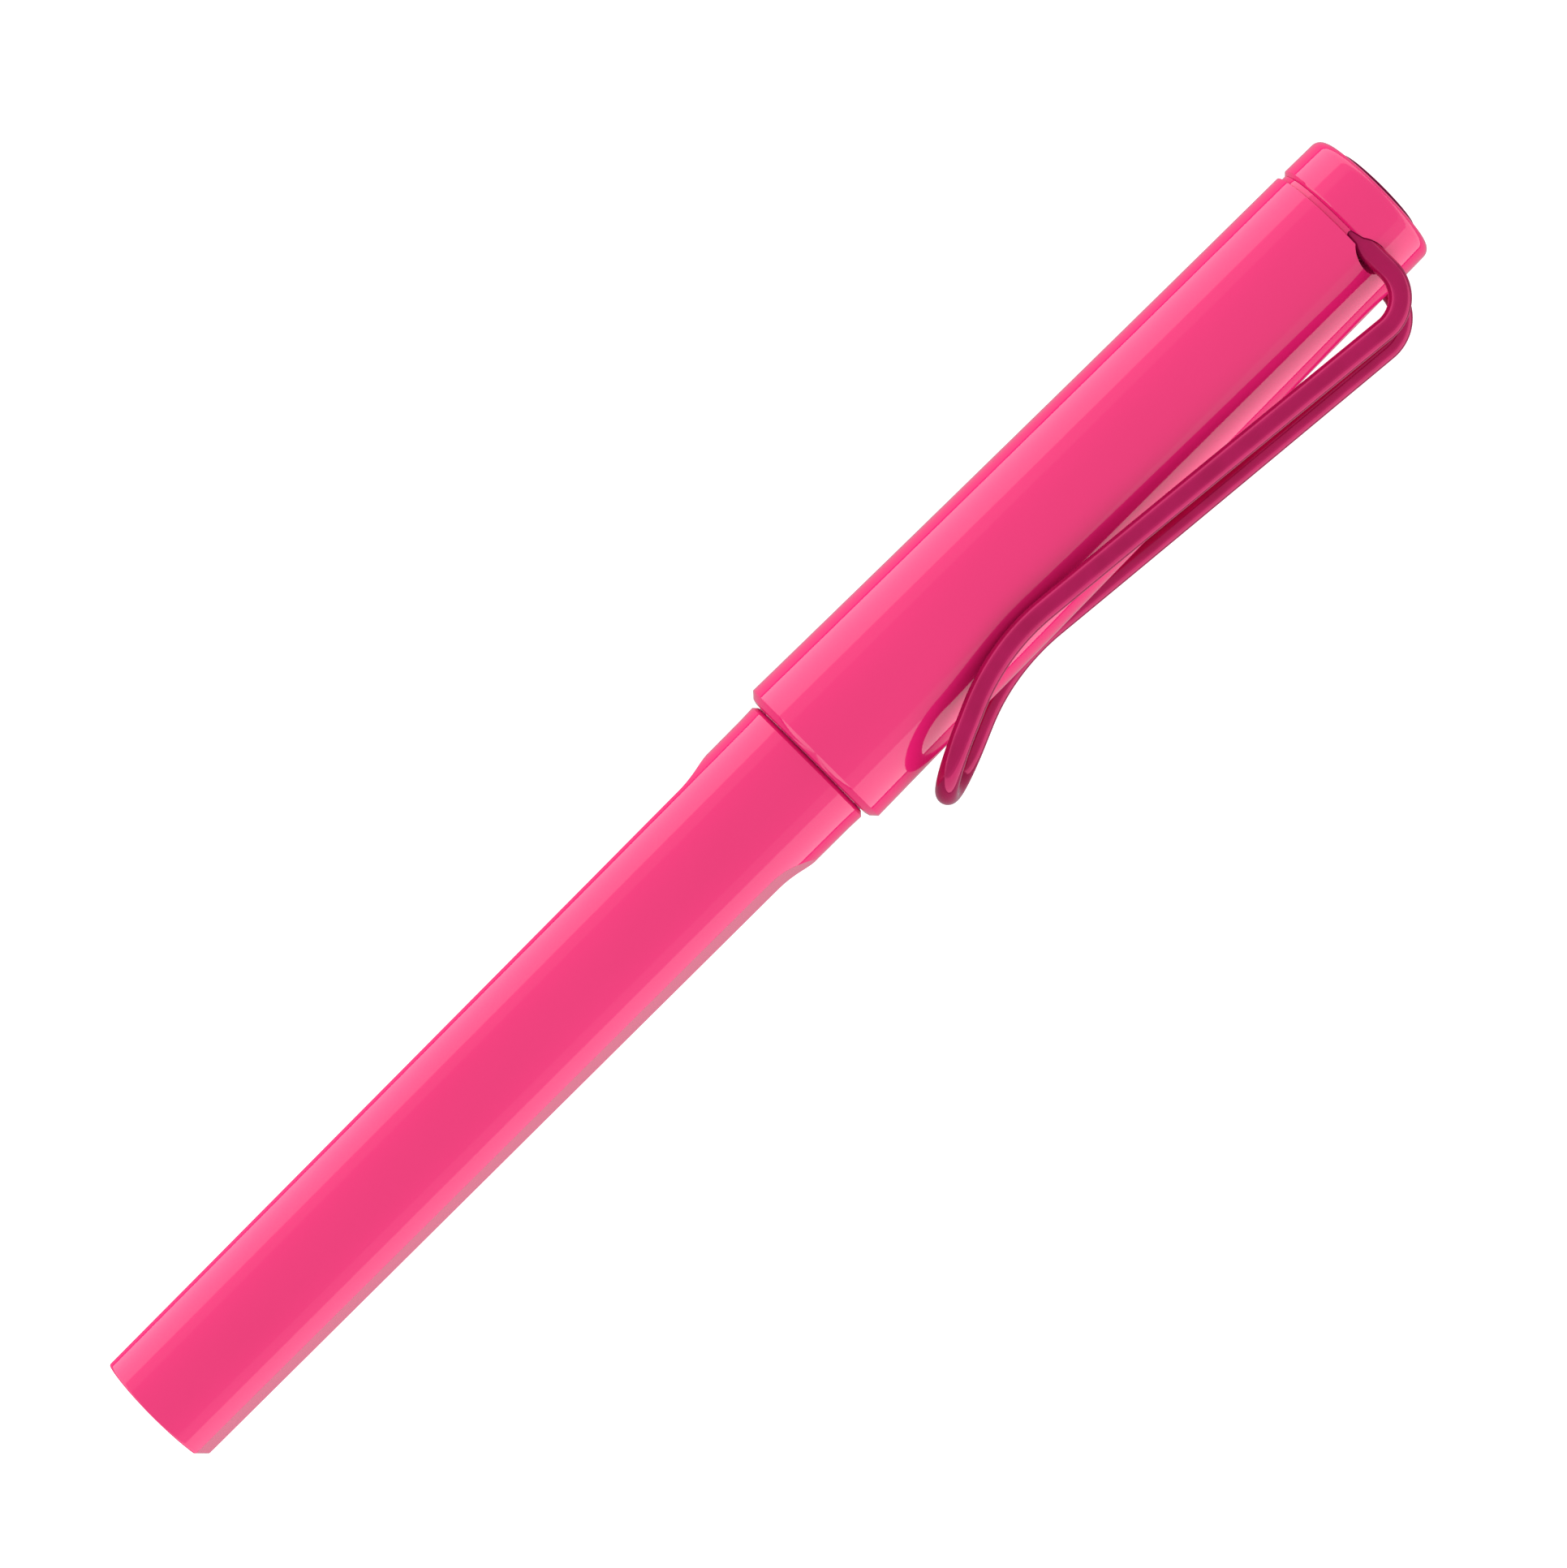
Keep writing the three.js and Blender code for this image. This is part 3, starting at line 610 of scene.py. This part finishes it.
def section_rings():
    """The ring that the cap snaps over, and the seal against the barrel."""
    ring = lathe("cap_snap_ring_fine", rounded([
        (SNAP_START, SNAP_BORE, 0.05), (SNAP_START, SNAP_SIDE, 0.12),
        ((SNAP_START + SNAP_END) / 2, SNAP_CREST, 0.25),
        (SNAP_END, SNAP_SIDE, 0.12), (SNAP_END, SNAP_BORE, 0.05),
    ]), SHELL_SIDES)
    finish_piece(ring, "pen_front", ["cap_snap_ring"], DARK_SATIN)
    outline = [(SEAL_X + x, SEAL_MIDDLE_RADIUS + r) for x, r in circle(SEAL_WIRE_RADIUS, SEAL_STEPS)]
    seal = lathe("barrel_o_ring_fine", outline)
    finish_piece(seal, "pen_front", ["barrel_o_ring"], RUBBER)


COLLAR_START, COLLAR_END, COLLAR_WALL, COLLAR_INSIDE = 105.2, 115.0, 2.9, 2.1
COLLAR_LIP_START, COLLAR_LIP_END, COLLAR_LIP_RADIUS = 112.1, 112.8, 3.4
NIB_START, NIB_END, NIB_RADIUS = 107.0, 121.5, 2.0
# The wedge falls by WEDGE_FALL on each side over WEDGE_LENGTH. The slanted end runs forward by
# SLANT_LENGTH from the nib's -z side to its +z side.
WEDGE_START, WEDGE_HALF_HEIGHT, WEDGE_LENGTH, WEDGE_FALL = COLLAR_END + 0.5, 2.1, 6.5, 1.65
SLANT_START, SLANT_LENGTH, SLANT_RISE = 120.0, 1.4, 2 * NIB_RADIUS
NIB_SHARP_EDGE = radians(25)


def nib_collar():
    """The collar that holds the nib in the nose."""
    collar = lathe("nib_collar_fine", rounded([
        (COLLAR_START, COLLAR_INSIDE, 0), (COLLAR_START, COLLAR_WALL, 0.1),
        (COLLAR_LIP_START, COLLAR_WALL, 0.05), (COLLAR_LIP_START, COLLAR_LIP_RADIUS, 0.12),
        (COLLAR_LIP_END, COLLAR_LIP_RADIUS, 0.2), (COLLAR_END, 2.45, 0.15),
        (COLLAR_END, COLLAR_INSIDE, 0.05),
    ]))
    finish_piece(collar, "pen_front", ["nib_collar"], DARK_SATIN)


def chisel_nib():
    """A felt rod, cut to a wedge by two sloping planes and slanted at its end by a third."""
    nib = lathe("chisel_nib_fine", rounded([
        (NIB_START, 0, 0), (NIB_START, NIB_RADIUS, 0.2), (NIB_END, NIB_RADIUS, 0.15), (NIB_END, 0, 0),
    ]))
    planes = [
        (place(WEDGE_START, WEDGE_HALF_HEIGHT), (WEDGE_FALL, WEDGE_LENGTH, 0)),
        (place(WEDGE_START, -WEDGE_HALF_HEIGHT), (WEDGE_FALL, -WEDGE_LENGTH, 0)),
        (place(SLANT_START, 0, -NIB_RADIUS), (SLANT_RISE, 0, -SLANT_LENGTH)),
    ]
    for point, normal in planes:
        bm = bmesh.new()
        bm.from_mesh(nib.data)
        cutting = bmesh.ops.bisect_plane(
            bm, geom=bm.verts[:] + bm.edges[:] + bm.faces[:], plane_co=point,
            plane_no=normal, clear_outer=True,
        )
        rim = [e for e in cutting["geom_cut"] if isinstance(e, bmesh.types.BMEdge)]
        bmesh.ops.edgenet_fill(bm, edges=rim)
        bmesh.ops.recalc_face_normals(bm, faces=bm.faces)
        bm.to_mesh(nib.data)
        bm.free()
    nib.data.shade_smooth()
    nib.data.set_sharp_from_angle(angle=NIB_SHARP_EDGE)
    finish_piece(nib, "pen_front", ["chisel_nib"], NIB_FELT)


# ---------------------------------------------------------------- cartridge

CARTRIDGE_START, CARTRIDGE_RADIUS, CARTRIDGE_BORE = 13.0, 3.5, 2.8
CARTRIDGE_SHOULDER, NECK_END, NECK_RADIUS, NECK_BORE = 68.0, 76.0, 2.1, 1.35
INK_START, INK_END, INK_RADIUS, INK_NECK_RADIUS = 14.8, 70.4, 2.76, 1.3
PLUG_START, PLUG_RIM, PLUG_END, PLUG_RADIUS, PLUG_BORE = 12.1, 12.94, 14.6, 2.74, 2.04
PLUG_FLOOR, PLUG_RECESS = 13.4, 12.3


def cartridge():
    """A clear shell with its ink and its end plug."""
    shell = lathe("cartridge_shell", rounded([
        (CARTRIDGE_START, CARTRIDGE_BORE, 0), (CARTRIDGE_START, CARTRIDGE_RADIUS, 0.1),
        (CARTRIDGE_SHOULDER, CARTRIDGE_RADIUS, 0.5), (69.0, 3.0, 0.3), (69.6, 2.3, 0.2),
        (70.2, NECK_RADIUS, 0.3), (NECK_END, NECK_RADIUS, 0.15), (NECK_END, NECK_BORE, 0.1),
        (69.6, NECK_BORE, 0.2), (68.4, CARTRIDGE_BORE, 0.4),
    ]))
    finish_piece(shell, "cartridge", ["cartridge_body"], CARTRIDGE)
    ink = lathe("ink_fill", rounded([
        (INK_START, 0, 0), (INK_START, INK_RADIUS, 0.2), (68.2, INK_RADIUS, 0.4),
        (69.4, INK_NECK_RADIUS, 0.3), (INK_END, INK_NECK_RADIUS, 0.1), (INK_END, 0, 0),
    ]))
    finish_piece(ink, "cartridge", [], INK)
    plug = lathe("cartridge_plug_fine", rounded([
        (PLUG_START, 0, 0), (PLUG_START, 1.2, 0.1), (PLUG_RECESS, 1.4, 0.1), (PLUG_RECESS, 2.4, 0.1),
        (PLUG_START, 2.6, 0.1), (PLUG_START, CARTRIDGE_RADIUS, 0.35),
        (PLUG_RIM, CARTRIDGE_RADIUS, 0.05), (PLUG_RIM, PLUG_RADIUS, 0.05),
        (PLUG_END, PLUG_RADIUS, 0.2), (PLUG_END, PLUG_BORE, 0.1), (PLUG_FLOOR, PLUG_BORE, 0.2),
        (PLUG_FLOOR, 0, 0),
    ]))
    finish_piece(plug, "cartridge", ["cartridge_end_plug"], PLUG)


# ---------------------------------------------------------------- cap

LEG_SPREAD = 4.8
WIRE_HOLE_X = 134.44
WIRE_HOLE_RADIUS = 1.16
HOLE_LOW, HOLE_HIGH = -9.0, 0.6
HOLE_SIDES = 64
HOLE_STEP, RETAINER_STEP = 0.16, 0.2
LIP_START, LIP_INSIDE, LIP_RADIUS = 74.39, 5.98, 6.22
CAP_MOUTH, CAP_MOUTH_RADIUS, CAP_END = 75.0, 7.17, 134.13
CAP_TAPER, CAP_TAPER_EASE = 0.01617, 0.00007
TAPER_ORIGIN, TAPER_START, TAPER_END, TAPER_STEPS = 75.06, 76.0, 133.9, 24
MOUTH_BORE, MOUTH_BORE_END = 5.88, 104.6
CAP_BORE, CAP_BORE_START, CAP_BORE_END = 5.45, 105.4, 129.2
SOCKET_FLOOR, HEAD_SOCKET_RADIUS, SCREW_BORE = 130.8, 5.35, 1.7


def wire_holes():
    """Rods that cut the two holes of the clip's legs, from outside the cap to past its axis."""
    return [
        rod_along_y(WIRE_HOLE_X, side * LEG_SPREAD, HOLE_LOW, HOLE_HIGH, WIRE_HOLE_RADIUS, HOLE_SIDES)
        for side in (1, -1)
    ]


def cap_radius(x):
    """The cap's outer radius: widest at the mouth, with a taper that eases towards the head."""
    along = x - TAPER_ORIGIN
    return CAP_MOUTH_RADIUS - CAP_TAPER * along + CAP_TAPER_EASE * along * along


def cap_shell():
    """The tapered tube, with a lip at its mouth and a socket for the head."""
    taper = [(x, cap_radius(x), 0) for x in steps_between(TAPER_START, TAPER_END, TAPER_STEPS)]
    outline = rounded([
        (LIP_START, LIP_INSIDE, 0.04), (LIP_START, LIP_RADIUS, 0.05), (LIP_START + 0.11, 6.62, 0.1),
        (CAP_MOUTH, CAP_MOUTH_RADIUS, 0.04), *taper, (CAP_END, cap_radius(CAP_END), 0.05),
        (CAP_END, HEAD_SOCKET_RADIUS, 0.05), (SOCKET_FLOOR, HEAD_SOCKET_RADIUS, 0.15),
        (SOCKET_FLOOR, SCREW_BORE, 0.05), (CAP_BORE_END, SCREW_BORE, 0.05),
        (CAP_BORE_END, CAP_BORE, 0.2), (CAP_BORE_START, CAP_BORE, 0.1),
        (MOUTH_BORE_END, MOUTH_BORE, 0.1),
    ])
    walls = densified(outline, start=131.0, end=134.2, step=HOLE_STEP)
    cap = lathe("cap_shell", walls, CAP_SIDES)
    cut(cap, wire_holes())
    finish_piece(cap, "cap", ["cap_tube"], PINK)


LINER_MOUTH, LINER_END, LINER_END_WALL = 107.6, 126.2, 0.8
LINER_BORE, LINER_RADIUS, LINER_SLOPE = 4.6, 5.25, 0.8


def inner_cap():
    """The liner that seals on the nose."""
    liner = lathe("inner_cap_liner", rounded([
        (LINER_END - LINER_END_WALL, 0, 0), (LINER_END - LINER_END_WALL, LINER_BORE - LINER_SLOPE, 0.3),
        (LINER_END - 2.8, LINER_BORE, 0.5), (LINER_MOUTH, LINER_BORE, 0.15),
        (LINER_MOUTH, LINER_RADIUS, 0.1), (LINER_END, LINER_RADIUS, 0.6), (LINER_END, 0, 0),
    ]))
    finish_piece(liner, "inner_cap", ["inner_cap"], LINER)


RETAINER_START, RETAINER_END, RETAINER_RADIUS = 131.0, 136.0, 5.15
FLANGE_START, FLANGE_END, FLANGE_RADIUS = 134.15, 134.67, 6.14
FINIAL_START, FINIAL_CHAMFER, FINIAL_RADIUS = 134.68, 134.97, 6.42
FINIAL_CORNER, FINIAL_FACE, FINIAL_ROUND = 138.80, 138.84, 0.85
FINIAL_FLOOR, DISC_SEAT, DISC_SEAT_RADIUS = 136.2, 138.1, 4.15
SCREW_END, SCREW_RADIUS = 127.1, 1.5
DISC_BACK, DISC_TOP, DISC_RADIUS = 138.2, 139.5, 4.05
DOME_HEIGHT, DOME_BASE = 0.33, 4.0


def clip_retainer():
    """The core between tube and head, with a flange at the bottom of the groove."""
    outline = rounded([
        (RETAINER_START, SCREW_BORE, 0), (RETAINER_START, RETAINER_RADIUS, 0.1),
        (FLANGE_START, RETAINER_RADIUS, 0.05), (FLANGE_START, FLANGE_RADIUS, 0.06),
        (FLANGE_END, FLANGE_RADIUS, 0.04), (FLANGE_END, RETAINER_RADIUS, 0.05),
        (RETAINER_END, RETAINER_RADIUS, 0.1), (RETAINER_END, SCREW_BORE, 0),
    ])
    walls = densified(outline, start=130.0, end=137.0, step=RETAINER_STEP)
    ring = lathe("clip_retainer_fine", walls, CAP_SIDES)
    cut(ring, wire_holes())
    finish_piece(ring, "cap", ["clip_retainer"], PINK)


def cap_finial():
    """The turned head, with a seat for the disc."""
    outline = rounded([
        (FINIAL_START, HEAD_SOCKET_RADIUS, 0.04), (FINIAL_START, FLANGE_RADIUS, 0.03),
        (FINIAL_CHAMFER, FINIAL_RADIUS, 0.08), (FINIAL_CORNER, FINIAL_RADIUS - 0.05, FINIAL_ROUND),
        (FINIAL_FACE, DISC_SEAT_RADIUS, 0.05), (DISC_SEAT, DISC_SEAT_RADIUS, 0.05),
        (DISC_SEAT, SCREW_BORE, 0), (FINIAL_FLOOR, SCREW_BORE, 0),
        (FINIAL_FLOOR, HEAD_SOCKET_RADIUS, 0.1),
    ], steps=6)
    walls = densified(outline, start=134.0, end=136.4, step=HOLE_STEP)
    finial = lathe("cap_finial_fine", walls, CAP_SIDES)
    cut(finial, wire_holes())
    finish_piece(finial, "cap", ["cap_finial"], PINK)


def finial_screw():
    """A shank with a domed disc as its head."""
    shank = [
        (SCREW_END, 0), (SCREW_END, SCREW_RADIUS - 0.2), (SCREW_END + 0.2, SCREW_RADIUS),
        (DISC_BACK, SCREW_RADIUS),
    ]
    rim = rounded([
        (DISC_BACK, DISC_RADIUS, 0), (DISC_TOP - 0.31, DISC_RADIUS, 0.07), (DISC_TOP - 0.25, 3.5, 0),
    ])[1:-1]
    dome = [
        (DISC_TOP - DOME_HEIGHT * (r / DOME_BASE) ** 2, r) for r in (3.5, 3.0, 2.4, 1.8, 1.2, 0.6)
    ]
    outline = shank + [(DISC_BACK, DISC_RADIUS - 0.05)] + rim + dome + [(DISC_TOP, 0)]
    screw = lathe("finial_screw_fine", outline)
    finish_piece(screw, "cap", ["finial_screw"], DISC)


# ---------------------------------------------------------------- clip

WIRE_RADIUS = 0.95
ROOT_X, INNER_HEIGHT = 134.62, -0.2
BEND_RADIUS, BEND_HEIGHT = 3.3, 5.7
# The low point is on the knee between leg and tip, where the wire comes closest to the cap.
LOW_X, LOW_HEIGHT, KNEE_RADIUS = 94.2, 5.53, 19.5
TIP_X, TIP_ANGLE = 80.2, radians(23.5)
SPREAD_LOW, SPREAD_TIP = 5.65, 5.15
TIP_CENTRE = TIP_X + SPREAD_TIP * cos(TIP_ANGLE)
WIRE_SIDES = 48


def clamped(share):
    """A share kept between 0 and 1."""
    return min(max(share, 0.0), 1.0)


def leg_spread(x):
    """Half of the distance between the legs: widest at the low point, round at the tip."""
    along = clamped((ROOT_X - x) / (ROOT_X - LOW_X))
    spread = LEG_SPREAD + (SPREAD_LOW - LEG_SPREAD) * sin(along * pi / 2)
    share = clamped((LOW_X - x) / (LOW_X - TIP_CENTRE))
    return spread + (SPREAD_TIP - spread) * share * share * (3 - 2 * share)


def clip_half():
    """Half of the clip's centre line as (x, height towards -y, distance from the middle plane).

    It runs from the root through the bend, down the straight leg, over the knee at the low point
    and up to the tip, where it turns a quarter circle to the middle plane.
    """
    bend_x = ROOT_X - BEND_RADIUS
    knee_centre = LOW_HEIGHT + KNEE_RADIUS
    across, drop = bend_x - LOW_X, knee_centre - BEND_HEIGHT
    slope = asin((BEND_RADIUS + KNEE_RADIUS) / hypot(across, drop)) - atan2(drop, across)
    half = [(ROOT_X, height, LEG_SPREAD) for height in steps_between(INNER_HEIGHT, BEND_HEIGHT, 14)]
    for angle in steps_between(0, pi / 2 + slope, 36):
        x = bend_x + BEND_RADIUS * cos(angle)
        half.append((x, BEND_HEIGHT + BEND_RADIUS * sin(angle), leg_spread(x)))
    leg_start = bend_x - BEND_RADIUS * sin(slope)
    leg_end = LOW_X + KNEE_RADIUS * sin(slope)
    start_height = BEND_HEIGHT + BEND_RADIUS * cos(slope)
    for x in steps_between(leg_start, leg_end, 50):
        half.append((x, start_height - (leg_start - x) * tan(slope), leg_spread(x)))
    for angle in steps_between(-slope, TIP_ANGLE, 30):
        x = LOW_X - KNEE_RADIUS * sin(angle)
        half.append((x, knee_centre - KNEE_RADIUS * cos(angle), leg_spread(x)))
    knee_x = LOW_X - KNEE_RADIUS * sin(TIP_ANGLE)
    knee_height = knee_centre - KNEE_RADIUS * cos(TIP_ANGLE)
    for x in steps_between(knee_x, TIP_CENTRE, 6):
        half.append((x, knee_height + (knee_x - x) * tan(TIP_ANGLE), leg_spread(x)))
    for angle in steps_between(0, pi / 2, 40) + [pi / 2]:
        x = TIP_CENTRE - SPREAD_TIP * sin(angle) * cos(TIP_ANGLE)
        half.append((x, knee_height + (knee_x - x) * tan(TIP_ANGLE), SPREAD_TIP * cos(angle)))
    return half


def clip():
    """The wire along its centre line: one half and its mirror image."""
    half = clip_half()
    path = [(x, -height, spread) for x, height, spread in half]
    path += [(x, -height, -spread) for x, height, spread in reversed(half[:-1])]
    wire = sweep("clip_wire_fine", path, WIRE_RADIUS, WIRE_SIDES)
    finish_piece(wire, "clip", ["clip_wire"], CLIP)


# ---------------------------------------------------------------- carried-over CAD nodes

def dress_cad_nodes():
    """Gives their materials to the CAD pieces that are shown as they are."""
    finishes = {
        "ink_collector": FEED, "piercing_tube": FEED, "wick": WICK_FELT,
        "finial_nut": BRASS, "finial_washer": STEEL, "cartridge_seal_ball": GLASS,
    }
    for node, material in finishes.items():
        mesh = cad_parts[node].data
        mesh.materials.clear()
        mesh.materials.append(material)


# ---------------------------------------------------------------- camera, light and floor

# The aim is in pen coordinates, the lens and its sensor are in millimetres, the rest in metres.
VIEW_TILT = radians(8)
VIEW_DISTANCE = 0.550
LENS, SENSOR_WIDTH = 156.5, 36
NEAREST, FARTHEST = 0.01, 20
AIM_X = 71.4
AIM_OFFSET = 0.08
TO_CAMERA = Vector((0, -sin(VIEW_TILT), cos(VIEW_TILT)))
TO_CLIP = Vector((0, -cos(VIEW_TILT), -sin(VIEW_TILT)))
ALONG = Vector((1, 0, 0))

# Light levels around the pen, as (start angle from the camera's direction in degrees, level).
TENT_WALLS = [(0, 0.93), (52, 1.15), (70.5, 2.1), (121, 0.05), (125, 0.42)]

FILL_ANGLE = radians(68)
FILL_LENGTH, FILL_WIDTH, FILL_DISTANCE = 1.4, 0.7, 0.9
FILL_STRENGTH = 1.95
FLOOR_HALF = 3.0


def camera():
    """Looks down at the pen, tilted to its clip side, with the pen along the picture's diagonal."""
    data = bpy.data.cameras.new("camera")
    data.lens = LENS
    data.sensor_width = SENSOR_WIDTH
    data.clip_start, data.clip_end = NEAREST, FARTHEST
    eye = bpy.data.objects.new("camera", data)
    bpy.context.scene.collection.objects.link(eye)
    right = (ALONG + TO_CLIP).normalized()
    up = (ALONG - TO_CLIP).normalized()
    turn = Matrix((right, up, TO_CAMERA)).transposed().to_4x4()
    position = place(AIM_X) + TO_CAMERA * VIEW_DISTANCE - TO_CLIP * AIM_OFFSET * MM
    eye.matrix_world = Matrix.Translation(position) @ turn
    bpy.context.scene.camera = eye


def side_fill(name, angle):
    """A soft light panel along the pen, which glossy surfaces don't mirror.

    The angle is from the camera's direction towards the clip side.
    """
    data = bpy.data.lights.new(name, "AREA")
    data.shape = "RECTANGLE"
    data.size, data.size_y = FILL_LENGTH, FILL_WIDTH
    data.energy = FILL_STRENGTH * FILL_LENGTH * FILL_WIDTH * pi
    light = bpy.data.objects.new(name, data)
    bpy.context.scene.collection.objects.link(light)
    towards = TO_CAMERA * cos(angle) + TO_CLIP * sin(angle)
    across = ALONG.cross(towards)
    turn = Matrix((ALONG, -across, towards)).transposed().to_4x4()
    light.matrix_world = Matrix.Translation(place(AIM_X) + towards * FILL_DISTANCE) @ turn
    light.visible_camera = False
    light.visible_glossy = False


def light_tent():
    """A white tent around the pen, with a brighter wall on each side and a dim lower part.

    The level depends only on the angle around the pen, so the walls run along it without an end.
    """
    world = bpy.data.worlds.new("light_tent")
    world.use_nodes = True
    tree = world.node_tree

    def node(kind, operation=None):
        made = tree.nodes.new(kind)
        if operation:
            made.operation = operation
        return made

    direction = node("ShaderNodeTexCoord").outputs["Generated"]
    parts = []
    for axis in (TO_CLIP, TO_CAMERA):
        along = node("ShaderNodeVectorMath", "DOT_PRODUCT")
        along.inputs[1].default_value = axis
        tree.links.new(direction, along.inputs[0])
        parts.append(along.outputs["Value"])
    sideways = node("ShaderNodeMath", "ABSOLUTE")
    tree.links.new(parts[0], sideways.inputs[0])
    angle = node("ShaderNodeMath", "ARCTAN2")
    tree.links.new(sideways.outputs[0], angle.inputs[0])
    tree.links.new(parts[1], angle.inputs[1])
    share = node("ShaderNodeMath", "DIVIDE")
    share.inputs[1].default_value = pi
    tree.links.new(angle.outputs[0], share.inputs[0])
    walls = node("ShaderNodeValToRGB")
    walls.color_ramp.interpolation = "CONSTANT"
    while len(walls.color_ramp.elements) < len(TENT_WALLS):
        walls.color_ramp.elements.new(0.5)
    for element, (start, level) in zip(walls.color_ramp.elements, TENT_WALLS):
        element.position = start / 180
        element.color = (level, level, level, 1)
    tree.links.new(share.outputs[0], walls.inputs["Fac"])
    tree.links.new(walls.outputs["Color"], tree.nodes["Background"].inputs["Color"])
    bpy.context.scene.world = world


def studio():
    """The tent, and a fill light on each side of the pen."""
    light_tent()
    for side in (-1, 1):
        side_fill(f"side_fill_{side + 1}", side * FILL_ANGLE)


def floor():
    """A white sheet that glows by itself, and that the glossy pen doesn't mirror."""
    bm = bmesh.new()
    corners = [(-1, -1), (1, -1), (1, 1), (-1, 1)]
    bm.faces.new([bm.verts.new((x * FLOOR_HALF, y * FLOOR_HALF, 0)) for x, y in corners])
    sheet = new_object("floor", bm, weighted=False)
    nodes = Nodes("floor_white")
    cloud = nodes.range(nodes.noise(300.0), 0, 1)
    nodes.colour(nodes.mix(cloud, (0.30, 0.30, 0.30), (0.32, 0.32, 0.32)))
    nodes.roughness(nodes.range(nodes.noise(20.0), 0.6, 0.7))
    nodes.set(Emission_Color=(1, 1, 1, 1), Emission_Strength=1.0)
    sheet.data.materials.append(nodes.material)
    sheet.visible_glossy = False


# ---------------------------------------------------------------- the whole pen

camera()
studio()
floor()
barrel()
grip_section()
section_rings()
nib_collar()
chisel_nib()
cartridge()
cap_shell()
inner_cap()
clip_retainer()
cap_finial()
finial_screw()
clip()
dress_cad_nodes()

bpy.context.scene.view_settings.view_transform = "Standard"
